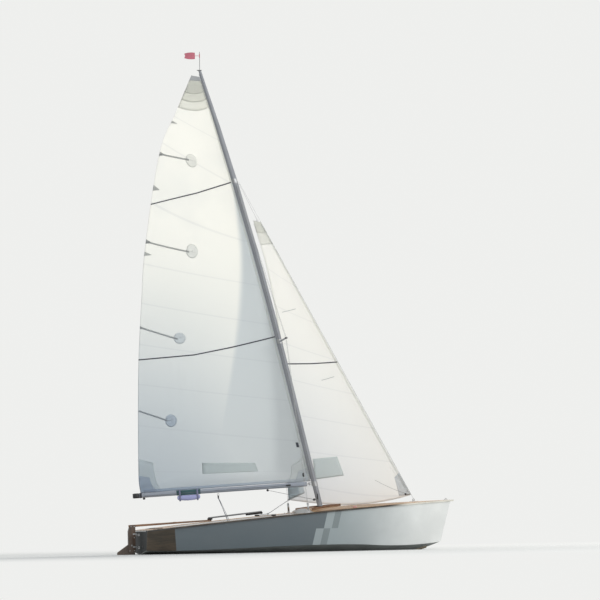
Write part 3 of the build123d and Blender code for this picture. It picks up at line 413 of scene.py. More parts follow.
# Stretches of a metal's drawn lines: along the boat, or the same every way; left out, they stand upright
alongBoat, everyWay = (1.2, 40.0, 40.0), (10.0, 10.0, 10.0)
materials = {
    "side": sideMaterial(sideBands),
    "strake": strakeMaterial(strakeTones),
    "bottom": paintMaterial("bottomPaint", (0.19, 0.205, 0.195), (0.15, 0.162, 0.156), rough=0.5, coat=0.1),
    "deck": woodMaterial("deckVarnish", woodTones["deckWood"]),
    "trim": woodMaterial("trimVarnish", woodTones["trimWood"]),
    "foil": woodMaterial("foilVarnish", woodTones["foilWood"], length=0.2, turn=(0.0, pi / 2, 0.0)),
    "transom": woodMaterial("transomVarnish", woodTones["sternWood"], length=0.3, turn=(0.0, 0.0, pi / 2)),
    "inside": paintMaterial("insidePaint", (0.56, 0.57, 0.56), (0.48, 0.49, 0.48), rough=0.45, coat=0.1),
    "mast": metalMaterial("mastAlloy", (0.285, 0.295, 0.315), 0.5, metallic=0.3),
    "boom": metalMaterial("boomAlloy", (0.30, 0.33, 0.38), 0.42, stretch=alongBoat, metallic=0.35),
    "steel": metalMaterial("steel", (0.40, 0.405, 0.41), 0.3, stretch=everyWay, metallic=1.0),
    "brass": metalMaterial("keelBrass", (0.20, 0.17, 0.12), 0.45, stretch=alongBoat),
    "tube": metalMaterial("tubeAlloy", (0.30, 0.30, 0.31), 0.35, stretch=alongBoat),
    "dark": plasticMaterial("darkPlastic", (0.02, 0.021, 0.023), 0.45),
    "vane": plasticMaterial("vanePlastic", (0.50, 0.12, 0.165)),
    "mainCloth": clothMaterial("mainCloth", clothTones["mainCloth"]),
    "jibCloth": clothMaterial("jibCloth", clothTones["jibCloth"]),
    "patch": clothMaterial("patchCloth", clothTones["patchCloth"]),
    "batten": clothMaterial("battenCloth", clothTones["battenCloth"]),
    "layer": clothMaterial("layerCloth", clothTones["layerCloth"]),
    "stripe": fabricMaterial("stripeTape", (0.055, 0.06, 0.075), 2600.0),
    "pouch": fabricMaterial("pouchFabric", (0.36, 0.38, 0.62)),
    "webbing": fabricMaterial("webbing", (0.03, 0.032, 0.04)),
    "rope": ropeMaterial("sheetRope", (0.15, 0.16, 0.18), (0.38, 0.38, 0.40)),
    "strap": fabricMaterial("strapWebbing", (0.17, 0.18, 0.28)),
    "line": ropeMaterial("thinLine", (0.10, 0.10, 0.11), (0.3, 0.3, 0.3)),
    "tape": fabricMaterial("telltaleTape", (0.44, 0.46, 0.46)),
    "film": clothMaterial("windowFilm", clothTones["filmCloth"]),
    "plate": metalMaterial("headboardPlate", (0.50, 0.51, 0.52), 0.4, stretch=everyWay, metallic=0.5),
    "sleeve": fabricMaterial("boomSleeve", (0.035, 0.09, 0.10)),
    "rubber": plasticMaterial("gripRubber", (0.012, 0.012, 0.013), 0.75),
    "rosy": plasticMaterial("deckEyePlastic", (0.52, 0.27, 0.25)),
    "pale": paintMaterial("palePaint", (0.50, 0.51, 0.50), (0.42, 0.43, 0.42), rough=0.4, coat=0.1),
}
nodeMaterials = {
    "side": ("topside_port", "topside_starboard"),
    "bottom": ("bottom_port", "bottom_starboard"),
    "deck": ("foredeck", "side_deck_port", "side_deck_starboard", "aft_deck"),
    "inside": ("side_tank_port", "side_tank_starboard", "cockpit_sole", "aft_bulkhead", "mast_bulkhead",
               "keelson"),
    "transom": ("transom",),
    "strake": ("strake_port", "strake_starboard"),
    "trim": ("splash_rail", "thwart", "thwart_post", "centreboard_case", "stem", "tiller", "mast_step"),
    "foil": ("rudder_stock", "rudder_blade", "centreboard"),
    "brass": ("keel_band",),
    "mast": ("mast", "spreader_port", "spreader_starboard"),
    "boom": ("boom",),
    "steel": ("gudgeons", "pintles", "blade_pin", "hounds_ring", "spreader_ring", "chainplate_port",
              "chainplate_starboard", "shroud_port", "shroud_starboard", "forestay", "tack_fitting",
              "fairlead_port", "fairlead_starboard", "gooseneck", "boom_fitting", "extension_swivel"),
    "tube": ("tiller_extension",),
    "dark": ("masthead_cap", "boom_cap", "mainsheet_block"),
    "vane": ("wind_vane",),
}
for key, names in nodeMaterials.items():
    for name in names:
        nodes[name].data.materials.clear()
        nodes[name].data.materials.append(materials[key])
print("materials made:", len(materials))


# Meshes from arrays
def addMesh(name, points, faces, material, uv=None):
    mesh = bpy.data.meshes.new(name)
    mesh.from_pydata(points.reshape(-1, 3).tolist(), [], faces)
    mesh.materials.append(materials[material])
    mesh.polygons.foreach_set("use_smooth", [True] * len(mesh.polygons))
    if uv is not None:
        loops = np.empty(len(mesh.loops), int)
        mesh.loops.foreach_get("vertex_index", loops)
        layer = mesh.uv_layers.new(name="map")
        layer.data.foreach_set("uv", uv.reshape(-1, 2)[loops].astype(np.float32).ravel())
    mesh.update()
    item = bpy.data.objects.new(name, mesh)
    bpy.context.scene.collection.objects.link(item)
    return item


def gridFaces(rows, columns, closed=False):
    # Quads between neighbouring rows and columns of a grid; closed joins the last column to the first
    i, j = np.meshgrid(np.arange(rows - 1), np.arange(columns if closed else columns - 1), indexing="ij")
    a, b = i * columns + j, i * columns + (j + 1) % columns
    return np.stack([a, b, b + columns, a + columns], -1).reshape(-1, 4).tolist()


def thicken(item, thickness):
    wall = item.modifiers.new("wall", "SOLIDIFY")
    wall.thickness, wall.offset = thickness, 0.0
    return item


def splineThrough(knots, samples):
    # Catmull-Rom curve through the knots, a cubic between each two, at evenly spaced samples
    k = np.asarray(knots, float)
    padded = np.vstack([2 * k[0] - k[1], k, 2 * k[-1] - k[-2]])
    t = np.linspace(0, len(k) - 1, samples)
    i = np.minimum(t.astype(int), len(k) - 2)
    f = (t - i)[:, None]
    p0, p1, p2, p3 = (padded[i + n] for n in range(4))
    squares, cubes = 2 * p0 - 5 * p1 + 4 * p2 - p3, 3 * p1 - p0 - 3 * p2 + p3
    return 0.5 * (2 * p1 + (p2 - p0) * f + squares * f**2 + cubes * f**3)


def squaredOff(value, power):
    # Sine or cosine raised to a power below 1, with its sign kept, which squares a circle's outline off
    return np.sign(value) * np.abs(value) ** power


def crosswise(axis):
    # The axis as a unit vector, with two unit vectors square to it
    axis = np.asarray(axis, float) / np.linalg.norm(axis)
    spare = np.array([0.0, 0.0, 1.0]) if abs(axis[2]) < 0.9 else np.array([1.0, 0.0, 0.0])
    first = np.cross(axis, spare)
    first /= np.linalg.norm(first)
    return axis, first, np.cross(axis, first)


def tubeFrames(path):
    # Two unit directions square to the path and to each other, at each of its points
    tangent = np.gradient(path, axis=0)
    tangent /= np.linalg.norm(tangent, axis=1)[:, None]
    spare = np.array([0.0, 1.0, 0.0]) if abs(tangent[0][1]) < 0.9 else np.array([1.0, 0.0, 0.0])
    side = np.cross(tangent, spare)
    side /= np.linalg.norm(side, axis=1)[:, None]
    return side, np.cross(tangent, side)


def addTube(name, path, radius, material, sides=10, flat=1.0):
    # Circle of the given radius carried along the path, its ends closed with caps; flat squeezes it one way
    path = np.asarray(path, float)
    radius = np.broadcast_to(np.asarray(radius, float), (len(path),))
    side, other = tubeFrames(path)
    turn = np.linspace(0, 2 * pi, sides, endpoint=False)
    cosine, sine = np.cos(turn)[None, :, None], np.sin(turn)[None, :, None]
    ring = cosine * side[:, None, :] + flat * sine * other[:, None, :]
    points = path[:, None, :] + ring * radius[:, None, None]
    run = np.concatenate([[0.0], np.cumsum(np.linalg.norm(np.diff(path, axis=0), axis=1))])
    uv = np.stack(np.broadcast_arrays((turn / (2 * pi))[None, :], run[:, None]), -1)
    faces = gridFaces(len(path), sides, closed=True)
    faces += [list(range(sides))[::-1], [(len(path) - 1) * sides + n for n in range(sides)]]
    return addMesh(name, points, faces, material, uv)


def closedShell(name, points, material):
    # A grid closed round its columns, with caps at both ends, turned so that its volume is positive
    rows, columns = points.shape[:2]
    quads = np.array(gridFaces(rows, columns, closed=True))
    p = points.reshape(-1, 3) - points.reshape(-1, 3).mean(0)
    a, b, c, d = (p[quads[:, n]] for n in range(4))
    volume = (np.cross(a, b) * c).sum() + (np.cross(a, c) * d).sum()
    faces = quads if volume > 0 else quads[:, ::-1]
    ends = [list(range(columns)), [(rows - 1) * columns + n for n in range(columns)]]
    ends = [ends[0][::-1], ends[1]] if volume > 0 else [ends[0], ends[1][::-1]]
    return addMesh(name, points, faces.tolist() + ends, material)


def addTurned(name, centre, axis, profile, material, sides=28):
    # A profile of radius and height pairs turned round an axis through the centre
    axis, first, second = crosswise(axis)
    radius, height = np.asarray(profile, float).T
    turn = np.linspace(0, 2 * pi, sides, endpoint=False)
    ring = np.cos(turn)[:, None] * first + np.sin(turn)[:, None] * second
    points = np.asarray(centre) + height[:, None, None] * axis + radius[:, None, None] * ring[None]
    return closedShell(name, points, material)


def addLump(name, centre, axes, half, material, square):
    # Superellipsoid: a block of the given half sizes, with sharper edges the smaller the power square is
    lat = np.linspace(-0.49 * pi, 0.49 * pi, 13)[:, None]
    lon = np.linspace(0, 2 * pi, 28, endpoint=False)[None, :]
    x = squaredOff(np.cos(lat), square) * squaredOff(np.cos(lon), square)
    y = squaredOff(np.cos(lat), square) * squaredOff(np.sin(lon), square)
    z = squaredOff(np.sin(lat), square) + 0 * lon
    points = np.asarray(centre)
    for value, axis, size in zip((x, y, z), axes, half):
        points = points + value[..., None] * np.asarray(axis, float) * size
    return closedShell(name, points, material)


def addRing(name, centre, axis, radii, wire, material, sides=32):
    # Small circles of radius wire set round an oval, a hair short of closing, so that the caps meet inside
    axis, first, second = crosswise(axis)
    turn = np.linspace(0, 2 * pi * 0.999, sides)[:, None, None]
    section = np.linspace(0, 2 * pi, 10, endpoint=False)[None, :, None]
    outward = np.cos(turn) * first + np.sin(turn) * second
    path = np.asarray(centre) + radii[0] * np.cos(turn) * first + radii[1] * np.sin(turn) * second
    return closedShell(name, path + wire * (np.cos(section) * outward + np.sin(section) * axis), material)


def addBand(name, path, across, width, material, thickness, closed=False):
    # Webbing: the path, widened by half the width each way along one direction
    path, across = np.asarray(path, float), np.asarray(across, float)
    side = np.linspace(-0.5, 0.5, 3)[:, None, None] * width
    item = addMesh(name, path[None] + side * across, gridFaces(3, len(path), closed), material)
    return thicken(item, thickness)


def line(start, end, samples=2):
    return np.linspace(np.asarray(start, float), np.asarray(end, float), samples)


boatAxes = ((1.0, 0.0, 0.0), (0.0, 1.0, 0.0), (0.0, 0.0, 1.0))
bothSides = (("port", 1), ("starboard", -1))


def fitted(item, body="root"):
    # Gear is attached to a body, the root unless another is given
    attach(item, body)


# Boom line and luff axis, as the CAD has them
pivot = np.array([0.21, 0.0, 0.96])
boomYaw, boomDroop = radians(10.0), radians(3.0)
boomWay = np.array([-cos(boomDroop) * cos(boomYaw), cos(boomDroop) * sin(boomYaw), -sin(boomDroop)])
boomSide = np.cross(boomWay, [0, 0, 1.0])
boomSide /= np.linalg.norm(boomSide)
boomUp = np.cross(boomSide, boomWay)


def swings(item):
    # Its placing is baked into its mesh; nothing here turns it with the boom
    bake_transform(item)


def onBoom(s, side=0.0, up=0.0):
    return pivot + boomWay * s + boomSide * side + boomUp * up


# Mast as the CAD has it: the rake and bend of its middle, and half its depth and breadth at some heights
mastLine = {"x": 0.285, "rake": 0.232, "bend": 0.0105, "levels": (-0.07, 2.5, 3.4, 4.3, 5.25, 6.05, 6.85),
            "heights": (-0.07, 4.3, 5.25, 6.05, 6.85), "half": (0.039, 0.039, 0.0385, 0.0315, 0.020),
            "breadth": (0.031, 0.031, 0.0305, 0.026, 0.017), "straightTo": 2.5}


def mastMiddle(z):
    # Straight rake, a parabola of bend above 2.5 m, and straight runs between the CAD's sections
    levels = np.array(mastLine["levels"])
    bend = mastLine["bend"] * np.maximum(levels - mastLine["straightTo"], 0) ** 2
    return np.interp(z, levels, mastLine["x"] - mastLine["rake"] * (levels - pivot[2]) - bend)


def mastHalf(z):
    return np.interp(z, mastLine["heights"], mastLine["half"])


def mastSide(z, side, out=0.0075):
    # Beside the mast, a little behind its middle
    z = np.asarray(z, float)
    away = np.interp(z, mastLine["heights"], mastLine["breadth"]) + out
    return np.stack([mastMiddle(z) - 0.01, side * away, z], -1)


# Sails: luff heights, leech points measured for them, and the camber there as a share of the chord
mainSail = {
    "luff": (1.0, 1.25, 2.0, 2.74, 3.5, 4.3, 5.41, 6.15, 6.76),
    "leech": ((-2.157, 0.417, 0.868), (-2.180, 0.425, 1.120), (-2.165, 0.468, 1.98), (-2.138, 0.495, 2.760),
              (-2.085, 0.502, 3.56), (-2.015, 0.490, 4.38), (-1.806, 0.400, 5.69), (-1.590, 0.260, 6.26),
              (-1.395, 0.040, 6.785)),
    "camber": (0.015, 0.075, 0.085, 0.09, 0.09, 0.085, 0.075, 0.06, 0.03),
    "material": "mainCloth", "gap": 0.008, "columns": 120, "rows": 200, "cloth": 0.0012, "fullest": 0.88,
    "flat": (2.40, 6.05), "filled": 0.66,
}
jibSail = {
    "luff": (0.78, 1.4, 2.05, 2.7, 3.4, 4.1, 4.69),
    "leech": ((0.0, 0.450, 0.735), (-0.035, 0.435, 1.38), (-0.052, 0.400, 2.06), (-0.095, 0.335, 2.73),
              (-0.182, 0.242, 3.415), (-0.345, 0.130, 4.12), (-0.535, 0.030, 4.715)),
    "camber": (0.07, 0.10, 0.11, 0.11, 0.10, 0.08, 0.05),
    "material": "jibCloth", "gap": 0.0035, "columns": 90, "rows": 150, "cloth": 0.0012, "fullest": 0.86,
    "flat": (1.76, 4.45), "filled": 0.5, "footDrop": 0.11, "footShare": 0.1,
}
stayLow, stayHigh = np.array([1.725, 0.0, 0.7246]), np.array([-0.7511, 0.0, 5.28])


def mainLuff(z):
    return mastMiddle(z) - mastHalf(z) - mainSail["gap"]


def jibLuff(z):
    share = (z - stayLow[2]) / (stayHigh[2] - stayLow[2])
    return stayLow[0] + (stayHigh[0] - stayLow[0]) * share - jibSail["gap"]


def sailPoint(sail, luffLine, u, v):
    # Share u of the chord from luff to leech at share v of the height, plus a parabola of camber to leeward;
    # the power fullest moves the parabola's peak a little forward
    t = v * (len(sail["luff"]) - 1)
    fine = np.linspace(0, len(sail["luff"]) - 1, 400)
    table = splineThrough(np.column_stack([sail["luff"], sail["camber"], sail["leech"]]), 400)
    z, camber, ex, ey, ez = (np.interp(t, fine, table[:, n]) for n in range(5))
    luff = np.stack([luffLine(z), np.zeros_like(z), z], -1)
    chord = np.stack([ex, ey, ez], -1) - luff
    length = np.linalg.norm(chord, axis=-1, keepdims=True)
    side = np.array([0.0, 1.0, 0.0]) - chord * (chord[..., 1:2] / length**2)
    side /= np.linalg.norm(side, axis=-1, keepdims=True)
    w = np.clip(u, 0, 1) ** sail["fullest"]
    depth = (4 * camber * w * (1 - w))[..., None] * length
    return luff + chord * u[..., None] + side * depth


def surfaceNormal(sail, luffLine, u, v):
    # Cross product of the surface's two slopes, taken over a small step; it points to leeward
    step = 1e-3

    def at(u, v):
        return sailPoint(sail, luffLine, u, v)

    across = at(np.minimum(u + step, 1), v) - at(np.maximum(u - step, 0), v)
    along = at(u, np.minimum(v + step, 1)) - at(u, np.maximum(v - step, 0))
    normal = np.cross(across, along)
    normal /= np.linalg.norm(normal, axis=-1, keepdims=True)
    return normal * np.where(normal[..., 1:2] < 0, -1.0, 1.0)


def waves(u, v, height, pace, centre, spread):
    # Sine ripples that die away as a bell curve round a centre of shares
    fade = -((u - centre[0]) / spread[0]) ** 2 - ((v - centre[1]) / spread[1]) ** 2
    return height * np.sin(u * pace[0] + v * pace[1]) * np.exp(fade)


def creases(u, v):
    # Small swellings of the cloth: soft folds low in the middle, pulls from the clew, scallops at the luff
    fold = waves(u, v, 0.004, (60, 6), (0.75, 0.31), (0.12, 0.08))
    pull = waves(u, v, 0.003, (0.35 * 85, 85), (0.95, 0.08), (0.2, 0.1))
    luffScallop = 0.0025 * np.sin(v * 170) * np.exp(-(u / 0.06) ** 2)
    return (fold + pull + luffScallop) * np.minimum(1, 20 * u)


def mainPoint(u, v):
    u, v = np.broadcast_arrays(np.asarray(u, float), np.asarray(v, float))
    normal = surfaceNormal(mainSail, mainLuff, u, v)
    return sailPoint(mainSail, mainLuff, u, v) + normal * creases(u, v)[..., None]


def jibPoint(u, v):
    # The foot hangs in a curve below its straight line
    u, v = np.broadcast_arrays(np.asarray(u, float), np.asarray(v, float))
    point = sailPoint(jibSail, jibLuff, u, v)
    near = np.clip(1 - v / jibSail["footShare"], 0, 1) ** 1.5
    point[..., 2] -= jibSail["footDrop"] * np.sin(pi * np.clip(u, 0, 1) ** 0.9) * near
    return point


def sailCloth(name, sail, pointOf):
    u, v = np.linspace(0, 1, sail["columns"])[None, :], np.linspace(0, 1, sail["rows"])[:, None]
    uv = np.stack(np.broadcast_arrays(u, v), -1)
    faces = gridFaces(sail["rows"], sail["columns"])
    return thicken(addMesh(name, pointOf(u, v), faces, sail["material"], uv), sail["cloth"])


def sailPatch(name, pointOf, u, v, material, thickness):
    # A patch laid on the sail: u and v are its shares, arrays of one shape, and it stands proud on both faces
    item = addMesh(name, pointOf(u, v), gridFaces(*u.shape), material, np.stack([u, v], -1))
    return thicken(item, thickness)


def discShares(centre, radiusU, radiusV):
    # Rings of shares round a centre, for a round patch
    r, a = np.linspace(0.02, 1, 5)[:, None], np.linspace(0, 2 * pi, 28)[None, :]
    return centre[0] + r * radiusU * np.cos(a), centre[1] + r * radiusV * np.sin(a)


def sailTape(name, pointOf, knots, half, material, thickness, samples, upright=False):
    # A tape along knots of shares: the line between them, widened by half each way across its own run
    k = np.asarray(knots, float)
    t = np.linspace(0, len(k) - 1, samples)
    u, v = (np.interp(t, np.arange(len(k)), k[:, n]) for n in (0, 1))
    step = 2e-3
    if upright:
        across = pointOf(np.minimum(u + step, 1), v) - pointOf(np.maximum(u - step, 0), v)
    else:
        across = pointOf(u, np.minimum(v + step, 1)) - pointOf(u, np.maximum(v - step, 0))
    across /= np.linalg.norm(across, axis=-1, keepdims=True)
    side = np.linspace(-half, half, 3)[:, None, None]
    uv = np.stack(np.broadcast_arrays(u[None, :], v[None, :] + side[..., 0]), -1)
    grid = pointOf(u, v)[None] + across[None] * side
    return thicken(addMesh(name, grid, gridFaces(3, samples), material, uv), thickness)


def sailPanel(name, pointOf, corners, material, thickness, bulge):
    # A four-cornered panel: its shares run straight between the corners both ways; its first edge may bulge
    a, b, c, d = (np.asarray(corner, float) for corner in corners)
    t, r = np.linspace(0, 1, 14)[None, :, None], np.linspace(0, 1, 14)[:, None, None]
    share = (a * (1 - t) + b * t) * (1 - r) + (d * (1 - t) + c * t) * r
    share[..., 1] -= bulge * (4 * t * (1 - t) * (1 - r))[..., 0]
    return sailPatch(name, pointOf, share[..., 0], share[..., 1], material, thickness)


def sailTrim(sailName, pointOf, tapes, panels, bulges, samples, longSamples):
    # All tapes and panels of one sail; the tapes along the luff and leech stand upright and have more samples
    pieces = []
    for label, (material, thickness, half, knots) in tapes.items():
        upright = label in ("leechTape", "luffTape")
        count = longSamples if upright else samples
        tape = sailTape(f"{sailName}.{label}", pointOf, knots, half, material, thickness, count, upright)
        pieces.append(tape)
    for label, (material, thickness, *corners) in panels.items():
        bulge = bulges.get(label, 0.0)
        pieces.append(sailPanel(f"{sailName}.{label}", pointOf, corners, material, thickness, bulge))
    return pieces


mainCloth = sailCloth("mainsailCloth", mainSail, mainPoint)
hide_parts("mainsail")
swings(mainCloth)
jibCloth = sailCloth("jibCloth", jibSail, jibPoint)
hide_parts("jib")
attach(jibCloth, "root")
print("sails made")

# Battens in their pockets, each with a round patch at its inner end; places are shares across and up the sail
battens = {
    "top": {"inner": (0.589, 0.754), "outer": (0.995, 0.750), "patch": (0.551, 0.7546), "chord": 0.95},
    "upper": {"inner": (0.597, 0.618), "outer": (0.997, 0.6324), "patch": (0.571, 0.6191), "chord": 1.48},
    "lower": {"inner": (0.724, 0.4231), "outer": (0.998, 0.4480), "patch": (0.7075, 0.4248), "chord": 1.86},
    "foot": {"inner": (0.814, 0.2368), "outer": (0.996, 0.2589), "patch": (0.790, 0.2366), "chord": 2.15},
}
battenSet = {"half": 0.011, "thickness": 0.006, "patchRadius": 0.08, "patchThickness": 0.004,
             "leechLength": 6.2}

# A tape has a material, a thickness, half its width and its knots; a panel has corners for the last two
mainTapes = {
    "stripeHigh": ("stripe", 0.006, 0.008, ((0.999, 0.681), (0.5, 0.704), (0.013, 0.731))),
    "stripeLow": ("stripe", 0.006, 0.008, ((1.0, 0.3756), (0.611, 0.3866), (0.333, 0.404), (0.087, 0.4216),
                                           (0.0, 0.4279))),
    "footTape": ("patch", 0.003, 0.022, ((0.02, 0.012), (0.98, 0.012))),
    "luffTape": ("layer", 0.004, 0.012, ((0.006, 0.004), (0.022, 0.99))),
}
mainPanels = {
    "headLayer1": ("layer", 0.0018, (0.0, 0.9104), (1.0, 0.894), (1.0, 1.0), (0.0, 1.0)),
    "headLayer2": ("layer", 0.0026, (0.0, 0.9339), (1.0, 0.920), (1.0, 1.0), (0.0, 1.0)),
    "headLayer3": ("layer", 0.0034, (0.0, 0.958), (1.0, 0.945), (1.0, 1.0), (0.0, 1.0)),
    "headboard": ("plate", 0.007, (0.0, 0.9885), (1.0, 0.984), (1.0, 1.0), (0.0, 1.0)),
    "clewLayer1": ("layer", 0.002, (0.875, 0.0), (1.0, 0.0), (1.0, 0.165), (0.91, 0.155)),
    "clewLayer2": ("patch", 0.003, (0.905, 0.0), (1.0, 0.0), (1.0, 0.125), (0.935, 0.115)),
    "tackLayer1": ("layer", 0.002, (0.0, 0.0), (0.13, 0.0), (0.09, 0.12), (0.0, 0.15)),
    "tackLayer2": ("patch", 0.003, (0.0, 0.0), (0.09, 0.0), (0.06, 0.09), (0.0, 0.11)),
    "window": ("film", 0.002, (0.29, 0.108), (0.619, 0.1138), (0.6159, 0.1473), (0.30, 0.138)),
    "square": ("stripe", 0.002, (0.018, 0.1700), (0.034, 0.1705), (0.034, 0.1815), (0.018, 0.181)),
    "leechTab1": ("batten", 0.004, (0.88, 0.8425), (1.0, 0.8390), (1.0, 0.8490), (0.88, 0.8435)),
    "leechTab2": ("batten", 0.004, (0.93, 0.6998), (1.0, 0.6975), (1.0, 0.7050), (0.93, 0.7005)),
    "leechTab3": ("batten", 0.004, (0.935, 0.6100), (1.0, 0.6080), (1.0, 0.6155), (0.935, 0.6107)),
    "battenEnd1": ("batten", 0.007, (0.93, 0.7505), (0.997, 0.7455), (0.997, 0.7545), (0.93, 0.7515)),
    "battenEnd2": ("batten", 0.007, (0.95, 0.6310), (0.998, 0.6288), (0.998, 0.6362), (0.95, 0.6318)),
    "battenEnd3": ("batten", 0.007, (0.965, 0.4452), (0.998, 0.4447), (0.998, 0.4512), (0.965, 0.4460)),
}
mainBulges = {"headLayer1": 0.010, "headLayer2": 0.009, "headLayer3": 0.008}
jibTapes = {
    "stripe": ("stripe", 0.0045, 0.008, ((0.98, 0.4875), (0.864, 0.4878), (0.5, 0.490), (0.093, 0.4959),
                                         (0.01, 0.497))),
    "leechTape": ("layer", 0.0028, 0.011, ((0.99, 0.01), (0.985, 0.99))),
    "luffTape": ("layer", 0.0022, 0.011, ((0.012, 0.01), (0.06, 0.99))),
    "tackSeam1": ("tape", 0.003, 0.0035, ((0.012, 0.004), (0.2375, 0.0655))),
    "tackSeam2": ("tape", 0.003, 0.0035, ((0.010, 0.010), (0.0534, 0.1089))),
    "telltale1": ("tape", 0.003, 0.0035, ((0.424, 0.4304), (0.1985, 0.4438))),
    "telltale2": ("tape", 0.003, 0.0035, ((0.8302, 0.6666), (0.413, 0.6784))),
}
jibPanels = {
    "headLayer1": ("layer", 0.0022, (0.0, 0.91), (1.0, 0.90), (1.0, 1.0), (0.0, 1.0)),
    "headLayer2": ("layer", 0.0032, (0.0, 0.955), (1.0, 0.95), (1.0, 1.0), (0.0, 1.0)),
    "clewLayer1": ("layer", 0.0022, (0.86, 0.03), (1.0, 0.0), (1.0, 0.15), (0.89, 0.12)),
    "clewLayer2": ("layer", 0.0032, (0.90, 0.025), (1.0, 0.0), (1.0, 0.11), (0.93, 0.09)),
    "tackLayer": ("patch", 0.0026, (0.0, 0.0), (0.09, 0.008), (0.06, 0.07), (0.0, 0.085)),
    "window": ("film", 0.002, (0.497, 0.085), (0.76, 0.075), (0.7445, 0.1487), (0.51, 0.155)),
}
mainPieces = []
for label, batten in battens.items():
    knots, half, thickness = (batten["inner"], batten["outer"]), battenSet["half"], battenSet["thickness"]
    mainPieces.append(sailTape(f"batten.{label}", mainPoint, knots, half, "batten", thickness, 100))
    radius, thickness = battenSet["patchRadius"], battenSet["patchThickness"]
    u, v = discShares(batten["patch"], radius / batten["chord"], radius / battenSet["leechLength"])
    mainPieces.append(sailPatch(f"battenPatch.{label}", mainPoint, u, v, "patch", thickness))
mainPieces += sailTrim("main", mainPoint, mainTapes, mainPanels, mainBulges, samples=100, longSamples=160)
for item in mainPieces:
    swings(item)
jibPieces = sailTrim("jib", jibPoint, jibTapes, jibPanels, {}, samples=40, longSamples=120)
for item in jibPieces:
    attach(item, "root")


print("sail details made:", len(mainPieces) + len(jibPieces))

# Pouch under the boom: a rolled fabric bag, fuller in the middle, sagging between its two straps
pouch = {"start": 1.56, "length": 0.33, "drop": 0.070, "half": 0.033, "tall": 0.039, "rings": 48, "sides": 32,
         "gather": 0.16, "roundness": 0.75, "ripple": 0.025, "ripples": 44, "sag": 0.006}


def makePouch(gear):
    # Rounded section carried along the boom; it swells from its gathered ends and sags low between the straps
    s = np.linspace(0, 1, gear["rings"])[:, None]
    a = np.linspace(0, 2 * pi, gear["sides"], endpoint=False)[None, :]
    ripple = 1 + gear["ripple"] * np.sin(s * gear["ripples"] + 2 * a)
    swell = np.clip(np.sin(pi * s), 0, 1) ** gear["gather"] * ripple
    wide = gear["half"] * swell * squaredOff(np.cos(a), gear["roundness"])
    tall = gear["tall"] * swell * squaredOff(np.sin(a), gear["roundness"])
    deep = gear["drop"] + gear["sag"] * np.sin(pi * s) ** 2 + tall
    along = pivot + boomWay * (gear["start"] + gear["length"] * s)[..., None]
    return closedShell("pouchBag", along + boomSide * wide[..., None] - boomUp * deep[..., None], "pouch")


bag = makePouch(pouch)
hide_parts("boom_pouch")
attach(bag, "boom_body")
print("pouch made")

# Hull lines as the CAD has them: the sheer and the planking's plan are arcs through three points
hullLines = {"sheer": ((-2.27, 0.34), (0.165, 0.56), (2.27, 0.70)), "flare": 0.277, "stern": (-2.27, 0.506),
             "waist": (-0.37, 0.618), "bow": 2.083, "bowRake": 0.267, "crown": 0.06,
             "deckFrom": 0.10, "deckTo": 2.27}


def arcAt(x, start, middle, end):
    # Ordinate of the circle through three points, from its centre and radius
    (ax, ay), (bx, by), (cx, cy) = start, middle, end
    d = 2 * (ax * (by - cy) + bx * (cy - ay) + cx * (ay - by))
    a2, b2, c2 = ax * ax + ay * ay, bx * bx + by * by, cx * cx + cy * cy
    ux = (a2 * (by - cy) + b2 * (cy - ay) + c2 * (ay - by)) / d
    uy = (a2 * (cx - bx) + b2 * (ax - cx) + c2 * (bx - ax)) / d
    return uy + np.sqrt((ax - ux) ** 2 + (ay - uy) ** 2 - (x - ux) ** 2)


def sheerAt(x):
    return arcAt(x, *hullLines["sheer"])


def halfAt(x, z):
    # Half the hull's width at a height: the topsides lean out by the flare, and the stem by its rake
    (ax, ay), (bx, by), lean = hullLines["stern"], hullLines["waist"], hullLines["flare"] * z
    return arcAt(x, (ax, ay + lean), (bx, by + lean), (hullLines["bow"] + hullLines["bowRake"] * z, 0.0))


def railPoint(x, side, inset, up):
    # A place on the deck, so far in from the rail and so far above the sheer
    return np.array([x, side * (halfAt(x, sheerAt(x)) - inset), sheerAt(x) + up])


def deckMiddle(x):
    # The foredeck's crown along its middle grows from the bow aft
    reach = (hullLines["deckTo"] - x) / (hullLines["deckTo"] - hullLines["deckFrom"])
    return sheerAt(x) + hullLines["crown"] * reach


# Mast: the luff's groove behind it, halyards down its sides, a collar at the deck and a sheave at the top
mastGear = {
    "groove": {"from": 1.03, "to": 6.80, "wide": 0.008, "deep": 0.0055, "back": 0.0025, "rings": 90,
               "sides": 12},
    "halyard": {"low": 0.70, "high": 5.20, "radius": 0.0022},
    "cleat": {"z": 0.78, "out": 0.006, "half": (0.008, 0.006, 0.04)},
    "collar": {"x": 0.3678, "up": 0.006, "radii": (0.043, 0.054), "wire": 0.0085},
    "sheave": {"z": 6.80, "up": 0.005, "back": 0.004, "axle": 0.004, "rim": 0.016, "waist": 0.013,
               "wide": 0.016},
}


def makeGroove(gear):
    # Flat tube from the mast's back to the sail's luff: a rounded section at each height, closed at both ends
    z = np.linspace(gear["from"], gear["to"], gear["rings"])[:, None]
    turn = np.linspace(0, 2 * pi, gear["sides"], endpoint=False)[None, :]
    x = mastMiddle(z) - mastHalf(z) - gear["back"] + gear["deep"] * np.cos(turn)
    y = gear["wide"] * squaredOff(np.sin(turn), 0.5) + 0 * z
    return closedShell("mastGroove", np.stack([x, y, z + 0 * turn], -1), "mast")


